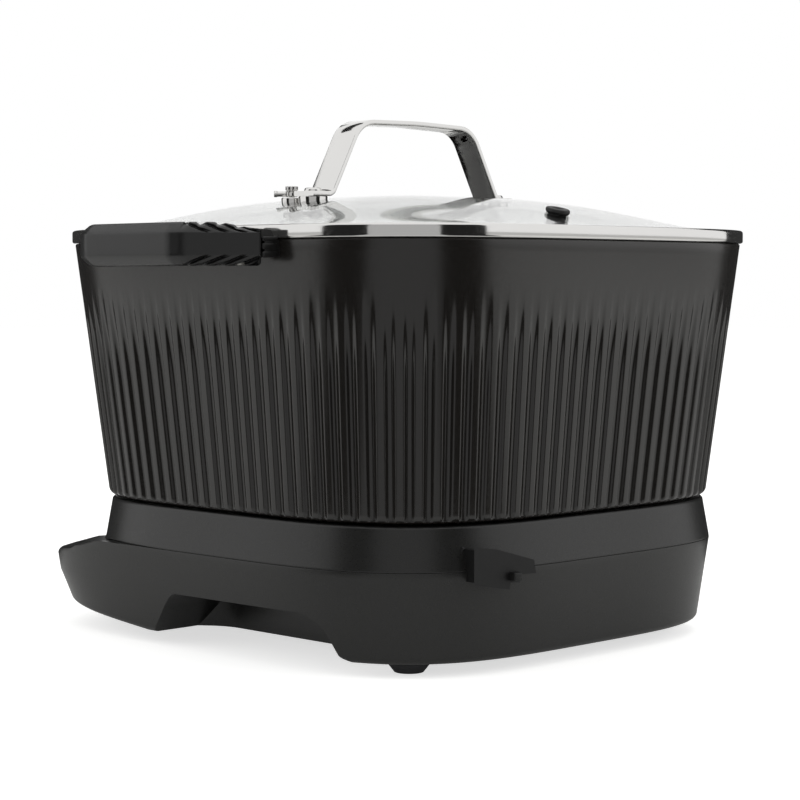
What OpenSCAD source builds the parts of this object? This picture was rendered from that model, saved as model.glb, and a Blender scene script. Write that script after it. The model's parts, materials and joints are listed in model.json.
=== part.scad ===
// Countertop multicooker: square fluted pot with a loose glass lid, on a heated base.
// The pot's axis stands at pot_y, so that the origin is under the middle of the whole object.

/* [Plan] */
// Exponent of the rounded-square plan, higher is squarer
squareness = 3.8; // [3.2:0.1:5]
// Points round each smooth shell
plan_points = 72; // [48:8:96]

/* [Base] */
// Height of the rubber feet under the base
foot_h = 6; // [4:0.5:12]
// Radius of a foot where it meets the base
foot_r = 9.5; // [7:0.5:12]
// Distance of each foot's middle inside the crease
foot_inset = 39.8; // [36:0.2:50]
// Height of the base without its feet
base_h = 61.2; // [54:0.2:80]
// Height of the upper shell, from the crease to the top
upper_h = 20; // [18:1:26]
// Half width of the base at the crease
crease_half = 127.8; // [120:0.2:136]
// Inset of the sides just above the bottom edge
low_inset = 4.8; // [2:0.2:8]
// Inset of the sides at the top edge
top_inset = 2.8; // [1:0.2:5]
// Rounding of the bottom edge
bottom_round = 3.5; // [2:0.5:6]
// Rounding of the top edge
top_round = 1.6; // [1:0.2:3]
// Wall of the base shells
shell_t = 2.6; // [2:0.2:3.2]

/* [Nose with the controls] */
// Reach of the nose in front of the crease
nose_out = 38.2; // [32:0.2:48]
// Distance of its bottom edge behind its tip
nose_under = 9.5; // [4:0.5:16]
// Bow of its front between the corners
nose_bow = 12.5; // [4:0.5:16]
// Rise of the nose's bottom over its run
nose_rise = 4.8; // [0:0.2:8]
// Run of that rise
rise_run = 60; // [50:1:80]
// Exponent of the nose's plan
nose_squareness = 6; // [4:0.1:8]
// Slope of the control panel
panel_tilt = 16.5; // [8:0.5:20]
// Distance of the panel's middle line behind the nose's tip
panel_in = 20; // [18:1:22]
// Height of that line below the crease
panel_drop = 11; // [6:0.2:13]
// Thickness of the control panel
panel_t = 2.4; // [2:0.2:3]
// Rim of the housing that stays round the panel
panel_rim = 3.2; // [2.6:0.2:5]
// Gap round the panel, its window and its buttons
panel_gap = 0.3; // [0.2:0.05:0.5]
// Distance of the panel's ends inside the crease
panel_inset = 25.8; // [22:0.2:30]

/* [Finger recesses] */
// Reach of each recess in front of the pot's axis
grip_front = 50; // [30:1:54]
// Reach of each recess behind the pot's axis
grip_back = 85; // [60:1:88]
// Height of each recess above the base's bottom
grip_h = 20.5; // [14:0.5:22]
// Depth of each recess from the crease
grip_depth = 41.8; // [30:0.2:46]

/* [Pot] */
// Gap between the base and the pot
pot_gap = 0.8; // [0.4:0.1:2]
// Height of the pot
pot_h = 124; // [100:1:150]
// Overhang of the pot's bottom over the base's top edge
pot_step = 1; // [0:0.2:3]
// Flare of each side from the bottom to the rim
pot_flare = 13.8; // [8:0.2:18]
// Wall of the pot at the rim
pot_wall = 3.2; // [2.6:0.1:4]
// Thickness of the pot's floor
pot_floor = 4; // [3:0.5:6]
// Rounding of the bottom edge
pot_round = 3.6; // [2:0.2:6]
// Flutes round the pot
flutes = 108; // [84:4:120]
// Depth of the flutes where they are full
flute_depth = 1.5; // [0.8:0.1:2]
// Share of the pitch that each rib takes
rib_share = 0.56; // [0.4:0.02:0.65]
// Height where the flutes start above the rounded edge
flute_low = 1; // [0.5:0.5:6]
// Height up to which the flutes are full
flute_full = 56; // [30:1:70]
// Height at which the flutes have run out
flute_top = 102; // [80:1:112]
// Overhang of the disc bonded under the pot over the heating plate
disc_over = 4; // [2:0.5:6]
// Thickness of that disc
disc_t = 6; // [4:0.5:8]

/* [Side handles] */
// Reach of the handles outside the lid's band
handle_out = 36; // [32:1:44]
// Half length of the handle's straight outer face
handle_half = 29; // [24:1:34]
// Half length over both legs at the pot
handle_root = 59; // [54:1:62]
// Height of the handle's outer face
handle_h = 19; // [15:0.5:22]
// Height of the flat band on its flanks
handle_flat = 9.4; // [7:0.2:12]
// Rise of the handle's top above the pot's rim
handle_rise = 7.2; // [6:0.2:9]
// Thickness of the outer bar
bar_t = 12.5; // [10:0.5:15]
// Gap between the handle's legs and the lid's band
root_gap = 7; // [6:0.5:9]
// Radius of the screws under the handles
handle_screw_r = 2; // [1.5:0.1:2.5]

/* [Lid] */
// Overhang of the steel band over the pot's rim
band_out = 1.2; // [0.8:0.1:2]
// Height of the band
band_h = 6.2; // [5:0.2:8]
// Sheet thickness of the band
band_t = 0.8; // [0.6:0.1:1.2]
// Width of the band's lips over and under the glass
band_lip = 7; // [5:0.5:9]
// Depth of the skirt that centres the lid in the pot
skirt_h = 5; // [3:0.5:8]
// Gap between the lid and the pot's rim
lid_gap = 0.2; // [0.1:0.05:0.4]
// Gap between the skirt and the pot's wall
skirt_gap = 1.4; // [1:0.1:2]
// Thickness of the glass
glass_t = 3.8; // [3:0.1:4.2]
// Rise of the dome above the edge of the glass
dome_h = 18; // [14:0.5:22]

/* [Lid handle] */
// Height of the handle above the top of the dome
strap_h = 37.3; // [30:0.1:46]
// Width of the strap
strap_w = 15.5; // [12:0.5:20]
// Thickness of the strap
strap_t = 2.4; // [2:0.1:3]
// Half span between the feet of the legs
strap_foot = 58; // [54:1:64]
// Half span of the level top
strap_top = 27; // [20:1:32]
// Half span where a leg reaches the corner
strap_corner = 39; // [36:1:44]
// Length of each foot outside its leg
strap_tab = 12; // [10:0.5:13]
// Radius of the screws of the strap
strap_screw_r = 2.5; // [2:0.1:3]
// Radius of the seals under the feet
washer_r = 7; // [6:0.5:8]
// Thickness of those seals at their thinnest
washer_t = 1.2; // [0.8:0.1:2]

/* [Steam valve and vent] */
// Place of the valve to the right of the axis
valve_x = 65; // [60:1:70]
// Place of the valve in front of the axis
valve_front = 14; // [14:1:30]
// Radius of the valve's flange
valve_flange_r = 5; // [4:0.2:6]
// Radius of the valve's cap
valve_cap_r = 3.1; // [2.8:0.1:3.8]
// Height of the cap
valve_cap_h = 5.2; // [4:0.2:8]
// Length of the cap's lever from its axis
lever_reach = 8.5; // [7:0.5:11]
// Radius of the lever
lever_r = 1.3; // [1:0.1:1.6]
// Place of the vent behind the axis
vent_back = 98; // [90:1:104]
// Radius of the vent's collar
vent_r = 6.2; // [5:0.2:8]
// Height of the vent's collar above the glass
vent_h = 3; // [2:0.2:4]
// Radius of the vent's own hole
vent_hole_r = 1.8; // [1.5:0.1:2]

/* [Heater] */
// Distance of the heating plate's edge inside the crease
plate_inset = 47.8; // [44:0.2:58]
// Thickness of the heating plate
plate_t = 9; // [7:0.5:11]
// Gap between the plate and the pot's disc
plate_gap = 0.3; // [0.2:0.05:0.5]
// Distance of the element's ring inside the plate's edge
element_inset = 22; // [16:1:30]
// Radius of the element's tube
element_tube = 3.4; // [2.8:0.2:4]
// Gap round the pot's disc in the base's top
well_gap = 6; // [2:0.5:8]
// Radius of the temperature sensor
sensor_r = 11; // [9:0.5:13]
// Thickness of the sensor's head
sensor_t = 6; // [4:0.5:8]
// Travel of the temperature sensor
sensor_travel = 2; // [1:0.5:3]

/* [Controls] */
// Radius of the push buttons
button_r = 5.5; // [4.5:0.5:6.5]
// Height of a button's face over the panel
button_rise = 1.2; // [0.8:0.1:1.6]
// Radius of the dial
dial_r = 10.5; // [9:0.5:12]
// Height of the dial over the panel
dial_h = 9; // [8:0.5:14]
// Half length of the display
display_half = 25; // [20:1:28]
// Half depth of the display
display_depth = 9; // [7:0.5:10]

/* [Hidden] */
$fn = 48;

// Heights from the floor up
base_z = foot_h;
crease_z = foot_h + base_h - upper_h;
top_z = foot_h + base_h;
pot_z = top_z + pot_gap;
rim_z = pot_z + pot_h;
band_z = rim_z + lid_gap;
glass_z = band_z + band_t + 0.4;
glass_edge_z = glass_z + glass_t;
dome_z = glass_edge_z + dome_h;
plate_z = pot_z - disc_t - plate_gap;

// Half widths, each from the one below it
base_low_half = crease_half - low_inset;
base_top_half = crease_half - top_inset;
pot_low_half = base_top_half + pot_step;
pot_rim_half = pot_low_half + pot_flare;
band_half = pot_rim_half + band_out;
handle_reach = band_half + handle_out;
foot_place = crease_half - foot_inset;
grip_inner = crease_half - grip_depth;
plate_r = crease_half - plate_inset;
element_r = plate_r - element_inset;
disc_r = plate_r + disc_over;
well_r = disc_r + well_gap;
nose_reach = crease_half + nose_out;
nose_low_reach = nose_reach - nose_under;
panel_front = nose_reach - panel_in;
panel_half = crease_half - panel_inset;

// The pot's axis, set so that the nose and the band reach equally far
pot_y = (nose_reach - band_half) / 2;

fit = 0.2;
far = 400;
handle_mid_z = rim_z + handle_rise - handle_h / 2;
glass_half = band_half - band_t - 0.4;

// Colours
plastic = "#3a3a39";
pot_black = "#3f3e3c";
steel = "#d9d9d7";
dark = "#1c1c1c";

// Point of a rounded square of unit half width at angle a
function unit_point(a) =
    let (c = cos(a), s = sin(a), r = pow(pow(abs(c), squareness) + pow(abs(s), squareness), -1 / squareness))
    [r * c, r * s];

// Rounded-square outline: half width, reach behind and in front, exponent and bow in front
function outline(half, back, front, front_n, count = plan_points, bow = 0) = [
    for (i = [0:count - 1])
        let (t = 360 * i / count, c = cos(t), s = sin(t), n = s < 0 ? front_n : squareness)
        [
            half * sign(c) * pow(abs(c), 2 / n),
            s < 0 ? -(front - bow) * pow(-s, 2 / n) - bow * (1 - pow(abs(c), 4 / n)) : back * pow(s, 2 / n),
        ]
];
function square_outline(half, count = plan_points) = outline(half, half, half, squareness, count);
function lift(points, z) = [for (p = points) [p[0], p[1], z]];

// Closed solid over rings of equal count, each ring a list of points from the lowest up
module loft(rings) {
    count = len(rings[0]);
    levels = len(rings);
    polyhedron(
        points = [for (ring = rings) each ring],
        faces = concat(
            [[for (j = [0:count - 1]) j]],
            [for (i = [0:levels - 2], j = [0:count - 1])
                let (a = i * count + j, b = i * count + (j + 1) % count)
                each [[a, a + count, b + count], [a, b + count, b]]],
            [[for (j = [0:count - 1]) (levels - 1) * count + count - 1 - j]]
        )
    );
}

module on_axis() {
    translate([0, pot_y, 0]) children();
}

// Frame of the control panel: local Z leaves its face, local Y climbs it
module on_panel() {
    on_axis() translate([0, -panel_front, crease_z - panel_drop]) rotate([panel_tilt, 0, 0]) children();
}

// Height of the panel's face at y from the pot's axis
function panel_height(y) = crease_z - panel_drop + (y + panel_front) * tan(panel_tilt);
crease_y = panel_drop / tan(panel_tilt) - panel_front;

// Everything below the crease, which follows the panel's slope in front
module below_crease(shift = 0) {
    rotate([90, 0, 90])
        linear_extrude(2 * far, center = true)
            polygon([
                [-far, panel_height(-far) + shift], [crease_y, crease_z + shift], [far, crease_z + shift],
                [far, -far], [-far, -far],
            ]);
}

// Lower shell: half width, reach of the nose, rounding of the bottom edge, rise of the nose's bottom
tip_z = panel_height(-nose_reach) - 1.2;
function low_half(z) = base_low_half
    + (crease_half - base_low_half) * max(0, z - base_z - bottom_round) / (crease_z - base_z - bottom_round);
function low_reach(z) = min(nose_reach,
    nose_low_reach + (nose_reach - nose_low_reach) * max(0, z - base_z) / (tip_z - base_z));
function edge_in(z) = let (u = (base_z + bottom_round - z) / bottom_round)
    u > 0 ? bottom_round * (1 - sqrt(max(0, 1 - u * u))) : 0;
function nose_lift(y, z) =
    nose_rise * max(0, -y - rise_start) / rise_run * min(1, max(0, (tip_z - z) / (tip_z - base_z)));
function low_ring(z, inset, edge) = [
    for (p = outline(low_half(z) - inset - edge, low_half(z) - inset - edge, low_reach(z) - inset - edge,
        nose_squareness, bow = nose_bow))
        [p[0], p[1], z + nose_lift(p[1], z)]
];

// Its solid; the bottom is closed by strips across the X axis, because the nose's bottom rises
module lower_form(inset, top) {
    floor_z = base_z + inset;
    rings = [
        low_ring(floor_z, inset, edge_in(floor_z - inset)),
        low_ring(floor_z + 0.3 * bottom_round, inset, edge_in(floor_z - inset + 0.3 * bottom_round)),
        low_ring(floor_z + bottom_round, inset, 0),
        low_ring(tip_z, inset, 0),
        low_ring(top, inset, 0),
    ];
    n = plan_points;
    q = n / 4;
    polyhedron(
        points = [for (ring = rings) each ring],
        faces = concat(
            [for (i = [0:q - 2]) [i, i + 1, n / 2 - i - 1, n / 2 - i]],
            [for (i = [0:q - 2]) [(n - i - 1) % n, (n - i) % n, n / 2 + i, n / 2 + i + 1]],
            [[q - 1, q, q + 1], [3 * q - 1, 3 * q, 3 * q + 1]],
            [for (i = [0:len(rings) - 2], j = [0:n - 1])
                let (a = i * n + j, b = i * n + (j + 1) % n)
                each [[a, a + n, b + n], [a, b + n, b]]],
            [[for (j = [0:n - 1]) (len(rings) - 1) * n + n - 1 - j]]
        )
    );
}

// Side view of a finger recess
module grip_shape(grow) {
    up = base_z + grip_h + grow;
    polygon([
        [-grip_front - grow, -1],
        [-grip_front - grow, base_z + 0.5],
        [-grip_front + 11 - grow, base_z + grip_h * 0.69],
        [-grip_front + 14 - grow / 2, up - 3.4],
        [-grip_front + 17, up - 1.4],
        [-grip_front + 22, up],
        [grip_back - 32, up],
        [grip_back - 25, up - 0.5],
        [grip_back - 19, up - 2.1],
        [grip_back - 14 + grow / 2, up - 5],
        [grip_back - 10 + grow, base_z + grip_h * 0.56],
        [grip_back - 3 + grow, base_z + 2],
        [grip_back + grow, -1],
    ]);
}

// Plan of a recess: straight along the cover, rounded at both ends
function grip_plan(grow) = [
    [far, -grip_front - 5 - grow],
    [grip_inner + 14 - grow / 2, -grip_front - 4.5 - grow],
    [grip_inner + 7 - grow * 0.8, -grip_front - grow * 0.8],
    [grip_inner + 2 - grow, -grip_front + 9 - grow / 2],
    [grip_inner - grow, -grip_front + 20],
    [grip_inner - grow, grip_back - 27],
    [grip_inner + 3 - grow, grip_back - 18 + grow / 2],
    [grip_inner + 9 - grow * 0.8, grip_back - 12 + grow * 0.8],
    [grip_inner + 18 - grow / 2, grip_back - 8 + grow],
    [grip_inner + 36, grip_back - 2 + grow],
    [far, grip_back + grow],
];

module grips(grow) {
    for (side = [-1, 1])
        intersection() {
            translate([side * far / 2, 0, 0])
                rotate([90, 0, 90]) linear_extrude(far, center = true) grip_shape(grow);
            translate([0, 0, -2])
                linear_extrude(far) polygon([for (p = grip_plan(grow)) [side * p[0], p[1]]]);
        }
}

cover_half = base_low_half - bottom_round - shell_t - 1;
cover_inner = grip_inner - shell_t - 1.4;
cover_front = grip_front + shell_t + 1.4;
ledge_z = base_z + shell_t + fit;
boss_r = 5;
boss_gap = 1.2;
base_screw_r = 1.9;
pan_room = 10;
pan_gap = 3;
pan_lip = 6;
pan_r = well_r + shell_t + pan_gap;
screw_place = (pan_r + boss_r + boss_gap) / sqrt(2);
rise_start = cover_front + 2;
boss_low = crease_z + 1;
boss_top = crease_z + upper_h - 4 * shell_t;

module bosses(z0, z1, r, rows = [-1, 1]) {
    for (x = [-1, 1], y = rows)
        translate([x * screw_place, y * screw_place, z0]) cylinder(h = z1 - z0, r = r);
}

// Plan of the bottom cover, behind the nose and between the finger recesses
module cover_shape(gap) {
    intersection() {
        polygon(square_outline(cover_half + gap));
        union() {
            translate([-cover_inner - gap, -cover_front - gap]) square([2 * (cover_inner + gap), far]);
            translate([-far, grip_back + shell_t + 1 - gap]) square([2 * far, far]);
        }
    }
}

module cord_window(gap) {
    translate([inlet_x0 - gap, crease_half - inlet_depth - 2, crease_z + inlet_drop - gap])
        cube([inlet_x1 - inlet_x0 + 2 * gap, far, inlet_h + 2 * gap]);
}

// Block on the back, flat on the outside and let into both shells
inlet_in = 63.8;
inlet_w = 24;
inlet_depth = 24;
inlet_x0 = crease_half - inlet_in;
inlet_x1 = inlet_x0 + inlet_w;
inlet_drop = -9;
inlet_z = crease_z + inlet_drop;
inlet_h = 16;
inlet_face = crease_half - 0.2;
inlet_arm = 17;
arm_depth = 10;
arm_low = 9;
peg_l = 7;
peg_low = 4.5;
plate_lip = 1.4;
plate_reach = 11;
cord_r = 3.5;

module upper_form(inset, top, low) {
    edge = inset > 0 ? 0.1 : top_round;
    flare = (crease_half - base_top_half) / (upper_h - top_round);
    loft([
        lift(square_outline(crease_half - inset + flare * (crease_z - low)), low),
        lift(square_outline(base_top_half - inset), top_z - top_round - inset),
        lift(square_outline(base_top_half - inset - edge), top),
    ]);
}

module upper_housing() {
    color(plastic) on_axis()
    difference() {
        union() {
            difference() {
                upper_form(0, top_z, crease_z - panel_drop - 8);
                upper_form(shell_t, top_z - shell_t, crease_z - panel_drop - 9);
                below_crease(fit);
                cylinder(h = far, r = well_r);
            }
            difference() {
                translate([0, 0, top_z - 12]) cylinder(h = 11, r = well_r + shell_t);
                translate([0, 0, top_z - 20]) cylinder(h = 40, r = well_r);
            }
            difference() {
                bosses(boss_low, top_z - shell_t + 0.5, boss_r);
                bosses(boss_low - 1, boss_top, base_screw_r + 0.1);
            }
        }
        cord_window(fit);
    }
}

deck_t = panel_t + panel_gap + shell_t;
flange_w = 2;
ledge_w = 4;

// What stays solid inside the lower shell: deck, ledge, pillars and the recesses' pocket walls
module lower_solids() {
    difference() {
        rotate([90, 0, 90])
            linear_extrude(2 * far, center = true)
                polygon([
                    [-far, panel_height(-far) - deck_t], [crease_y, crease_z - deck_t],
                    [far, crease_z - deck_t], [far, far], [-far, far],
                ]);
        linear_extrude(far) polygon(square_outline(crease_half - shell_t - flange_w));
    }
    grips(shell_t);
    linear_extrude(ledge_z + shell_t)
        difference() {
            translate([-far, -cover_front - 8]) square([2 * far, 2 * far]);
            intersection() {
                cover_shape(-ledge_w);
                translate([-cover_inner + ledge_w, -far]) square([2 * (cover_inner - ledge_w), 2 * far]);
            }
        }
    bosses(0, boss_low - fit, boss_r, [-1]);
    for (x = board_x, y = board_y) translate([x, y, 0]) cylinder(h = board_z, r = 3);
}

module lower_housing() {
    color(plastic) on_axis()
    difference() {
        union() {
            intersection() {
                lower_form(0, crease_z + 12);
                below_crease();
            }
            // Pads for the front feet
            for (x = [-1, 1])
                translate([x * foot_place, -foot_place, base_z]) cylinder(h = 5, r = foot_r + 1.5);
        }
        difference() {
            lower_form(shell_t, crease_z + 13);
            lower_solids();
        }
        translate([0, 0, -1]) linear_extrude(ledge_z + 1) cover_shape(panel_gap);
        grips(0);
        cord_window(fit);
        bosses(0, boss_low, base_screw_r + 0.1, [-1]);
        on_panel_local() {
            panel_plate(panel_gap, 20);
            translate([0, 0, -2 * deck_t]) linear_extrude(2 * deck_t) panel_shape(-shell_t);
        }
    }
}

// The panel's frame, already inside on_axis
module on_panel_local() {
    translate([0, -panel_front, crease_z - panel_drop]) rotate([panel_tilt, 0, 0]) children();
}

// Outline of the panel in its own plane, grown by gap
module panel_shape(gap) {
    intersection() {
        translate([0, panel_front])
            polygon(outline(
                crease_half - panel_rim + gap, crease_half, nose_reach - panel_rim + gap, nose_squareness,
                bow = nose_bow));
        translate([-panel_half - gap, -far]) square([2 * (panel_half + gap), 2 * far]);
        difference() {
            translate([-far, -far]) square(2 * far);
            translate([0, panel_front])
                polygon(square_outline(crease_half + 1.6 - gap));
        }
    }
}

module panel_plate(gap, rise) {
    translate([0, 0, -panel_t - gap]) linear_extrude(panel_t + gap + rise) panel_shape(gap);
}

module control_panel() {
    color("#161616") on_panel() {
        difference() {
            panel_plate(0, 0);
            translate([-display_half - panel_gap, display_y - display_depth - panel_gap, -far / 2])
                cube([2 * (display_half + panel_gap), 2 * (display_depth + panel_gap), far]);
            for (x = button_places)
                translate([x, control_y(x), -far / 2]) cylinder(h = far, r = button_r + panel_gap);
            translate([dial_x, control_y(dial_x), -far / 2]) cylinder(h = far, r = shaft_r + panel_gap);
        }
        // Posts that hold the control board
        for (p = post_places)
            translate([p[0], p[1], -board_drop]) cylinder(h = board_drop - panel_t / 2, r = 2.4);
    }
}

shaft_r = 3;
button_step = 18;
start_in = 14;
dial_in = 44;
dial_x = panel_half - dial_in;
button_places = [
    -(panel_half - button_step), -(panel_half - 2 * button_step), -(panel_half - 3 * button_step),
    panel_half - start_in,
];
// Posts of the control board: beside the display, between two buttons and beyond the dial
post_side = 6;
post_y = 6;
post_places = [
    [-display_half - post_side, post_y], [display_half + post_side, post_y],
    [-(panel_half - 2.5 * button_step), 7], [panel_half - (start_in + dial_in) / 2 + 1, 7],
];
display_y = -1;
function control_y(x) =
    let (out = abs(x) - panel_half)
    out > -16 ? 4 : out > -22 ? 2 : out > -42 ? -0.5 : -1;
board_drop = 7;
board_t = 1.6;
board_low = -8;
board_depth = 19;

module display_window() {
    color("#0b0b0c") on_panel()
        translate([-display_half, display_y - display_depth, -panel_t])
            cube([2 * display_half, 2 * display_depth, panel_t]);
}

module display_module() {
    color("#d8d8d2") on_panel()
        translate([-display_half + 1, display_y - display_depth + 1, -board_drop])
            cube([2 * display_half - 2, 2 * display_depth - 2, board_drop - panel_t - fit]);
}

module control_board() {
    color("#2f6b45") on_panel()
        translate([0, 0, -board_drop - board_t])
            linear_extrude(board_t)
                intersection() {
                    panel_shape(-2.4 * panel_t);
                    translate([-panel_half, board_low]) square([2 * panel_half, board_depth]);
                }
}

module push_button(x) {
    color("#d0d0ce") on_panel()
        translate([x, control_y(x), 0]) {
            translate([0, 0, -panel_t - 1.2]) cylinder(h = panel_t + 1.2 + button_rise, r = button_r);
            translate([0, 0, -panel_t - 2]) cylinder(h = 1.2, r = button_r + 0.9);
        }
}

module power_button() {
    push_button(button_places[0]);
}

module mode_button() {
    push_button(button_places[1]);
}

module timer_button() {
    push_button(button_places[2]);
}

module start_button() {
    push_button(button_places[3]);
}

module at_dial() {
    on_panel() translate([dial_x, control_y(dial_x), 0]) children();
}

module dial_knob() {
    color("#c9c9c7") at_dial()
    difference() {
        union() {
            translate([0, 0, 0.5]) cylinder(h = dial_h - 2.5, r = dial_r);
            translate([0, 0, dial_h - 2]) cylinder(h = 2, r1 = dial_r, r2 = dial_r - 2);
        }
        translate([0, 0, -1]) cylinder(h = dial_h - 3, r = shaft_r);
        translate([-0.8, dial_r - 6, dial_h - 0.8]) cube([1.6, 5, 2]);
    }
}

module dial_shaft() {
    color(steel) at_dial()
        translate([0, 0, -board_drop + 2.2])
            cylinder(h = board_drop - 2.2 + dial_h - 4.3, r = shaft_r - 0.05);
}

module dial_encoder() {
    color("#8b8d90") at_dial()
    difference() {
        translate([-2 * shaft_r, -2 * shaft_r, -board_drop])
            cube([4 * shaft_r, 4 * shaft_r, board_drop - panel_t - 1]);
        translate([0, 0, -board_drop + 1.9]) cylinder(h = far, r = shaft_r + 0.03);
    }
}

module cord_inlet() {
    color("#2e2e2d") on_axis()
    difference() {
        union() {
            translate([inlet_x0, crease_half - inlet_depth, inlet_z])
                cube([inlet_w, inlet_face - crease_half + inlet_depth, inlet_h]);
            // Arm along the wall with a small peg under it, and a plate on the block's end
            difference() {
                union() {
                    translate([inlet_x0 - inlet_arm, crease_half - arm_depth, inlet_z + arm_low])
                        cube([inlet_arm + 1, inlet_face - crease_half + arm_depth, inlet_h - arm_low]);
                    translate([inlet_x0 - peg_l, crease_half - arm_depth, inlet_z + peg_low])
                        cube([peg_l + 1, inlet_face - crease_half + arm_depth - 1, arm_low - peg_low + 0.1]);
                    translate([inlet_x1 - 0.5, inlet_face - plate_reach, inlet_z - plate_lip])
                        cube([2, plate_reach, inlet_h + 2 * plate_lip]);
                }
                translate([0, 0, crease_z - upper_h])
                    linear_extrude(2 * upper_h) polygon(square_outline(crease_half + fit));
            }
        }
        // Mouth for the cord, with its way into the base
        translate([inlet_x0 - 1, inlet_face - inlet_h / 2, inlet_z + cord_r + 0.5])
            rotate([0, 90, 0]) cylinder(h = inlet_w * 0.6, r = cord_r * 0.98);
    }
}

module bottom_cover() {
    color("#2a2a2a") on_axis()
    difference() {
        union() {
            translate([0, 0, base_z]) linear_extrude(shell_t) cover_shape(0);
            bosses(base_z + 1, boss_low - fit, boss_r, [1]);
        }
        bosses(0, boss_low, base_screw_r + 0.1, [1]);
    }
}

module rubber_feet() {
    color("#4a4a4c") on_axis()
    for (x = [-1, 1], y = [-1, 1])
        translate([x * foot_place, y * foot_place, 0]) {
            cylinder(h = foot_h * 0.6, r1 = foot_r * 0.66, r2 = foot_r);
            translate([0, 0, foot_h * 0.6]) cylinder(h = foot_h * 0.4, r = foot_r);
        }
}

module base_screws() {
    color("#9a9a9a") on_axis() {
        bosses(base_z - 2, base_z, base_screw_r * 1.8);
        bosses(base_z - 0.1, boss_top - 1, base_screw_r);
    }
}

module heating_plate() {
    color("#b8b8b6") on_axis()
    difference() {
        translate([0, 0, plate_z - plate_t]) cylinder(h = plate_t, r = plate_r, $fn = 96);
        translate([0, 0, plate_z - plate_t - 1]) cylinder(h = plate_t + 2, r = sensor_r + 2);
        translate([0, 0, plate_z - plate_t])
            rotate_extrude($fn = 96) translate([element_r, 0]) circle(r = element_tube + 0.05, $fn = 32);
    }
}

module heating_element() {
    color("#5a5856") on_axis() {
        translate([0, 0, plate_z - plate_t])
            rotate([0, 0, -75])
                rotate_extrude(angle = 330, $fn = 96) translate([element_r, 0]) circle(r = element_tube, $fn = 32);
        for (a = [-75, 255])
            rotate([0, 0, a])
                translate([element_r, 0, plate_z - plate_t - tail_l]) cylinder(h = tail_l, r = element_tube - 0.6);
    }
}

pan_z = plate_z - plate_t - pan_room;
pan_top = top_z - shell_t - pan_lip;

module heat_reflector() {
    color("#c4c4c2") on_axis()
    difference() {
        translate([0, 0, pan_z]) cylinder(h = pan_top - pan_z, r = pan_r, $fn = 96);
        translate([0, 0, pan_z + 0.8]) cylinder(h = far, r = pan_r - 0.8, $fn = 96);
        translate([0, 0, pan_z - 1]) cylinder(h = far, r = sensor_r + guide_lip - 2);
        for (a = [-75, 255])
            rotate([0, 0, a]) translate([element_r, 0, pan_z - 1]) cylinder(h = 3, r = element_tube + 2);
    }
}

module posts(z0, z1, r, angles = [45, 135, 225, 315]) {
    for (a = angles)
        rotate([0, 0, a]) translate([plate_r - post_inset, 0, z0]) cylinder(h = z1 - z0, r = r);
}

module plate_posts() {
    color("#a9a9a7") on_axis() {
        posts(pan_z + 0.8, plate_z - plate_t, 4);
        posts(base_z + shell_t, pan_z, 5, [45, 135]);
        posts(ledge_z + shell_t, pan_z, 5, [225, 315]);
    }
}

fuse_x = 30;
fuse_l = 28;
fuse_r = 3;
module thermal_fuse() {
    color("#e6e1d2") on_axis()
        translate([fuse_x, -fuse_l / 2, plate_z - plate_t - fuse_r])
            rotate([-90, 0, 0]) cylinder(h = fuse_l, r = fuse_r);
}

// The sensor's stem runs in the guide, on the spring, and stops on the guide's rim
sensor_low = plate_z - sensor_t;
stem_l = 3;
stem_r = sensor_r - 3;
guide_drop = 8;
guide_floor = 2;
guide_lip = 9;
guide_top = sensor_low - sensor_travel - 1.5;
spring_z = pan_z - guide_drop + guide_floor;

module sensor_guide() {
    color("#b0afa9") on_axis()
    difference() {
        union() {
            translate([0, 0, pan_z - guide_drop])
                cylinder(h = guide_top - pan_z + guide_drop, r = stem_r + 2.4);
            translate([0, 0, pan_z + 0.8]) cylinder(h = 0.8, r = sensor_r + guide_lip);
        }
        translate([0, 0, spring_z]) cylinder(h = far, r = stem_r + 0.8);
    }
}

module sensor_spring() {
    color("#cfcfcf") on_axis()
    difference() {
        translate([0, 0, spring_z]) cylinder(h = sensor_low - stem_l - spring_z, r = stem_r - 1);
        translate([0, 0, spring_z - 1]) cylinder(h = far, r = stem_r - 2.5);
    }
}

module temperature_sensor() {
    color("#d4d4d2") on_axis() {
        translate([0, 0, sensor_low]) cylinder(h = sensor_t, r = sensor_r);
        translate([0, 0, sensor_low - stem_l]) cylinder(h = stem_l + 0.5, r = stem_r);
    }
}

// Board in the nose, on four posts, and what stands on it
board_out = 4.2;
board_left = 70;
board_len = 96;
board_w = 26;
post_edge = 4.5;
part_edge = 4;
part_h = 12;
relay_l = 20;
relay_w = 16;
core_in = 50;
core_l = 24;
core_w = 18;
board_front = crease_half + board_out;
board_z = base_z + 12;
board_x = [-board_left + 2 * part_edge, board_len - board_left - 2 * part_edge];
board_y = [-board_front + post_edge, -board_front + board_w - post_edge];

module power_board() {
    color("#2f6b45") on_axis()
        translate([-board_left, -board_front, board_z]) cube([board_len, board_w, board_t]);
}

module relay() {
    color("#20406a") on_axis()
        translate([-board_left + 2 * part_edge, -board_front + part_edge, board_z + board_t])
            cube([relay_l, relay_w, part_h]);
}

module transformer() {
    color("#8a7a3a") on_axis()
        translate([-board_left + core_in, -board_front + part_edge, board_z + board_t])
            cube([core_l, core_w, part_h]);
}

// Terminals for the cord, beside the cover's rear pillar
terminal_l = 24;
terminal_w = 10;
terminal_in = 40;
module terminal_block() {
    color("#e4e2dc") on_axis()
        translate([screw_place - boss_r - 1 - terminal_l, crease_half - terminal_in, base_z + shell_t])
            cube([terminal_l, terminal_w, part_h]);
}

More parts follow.
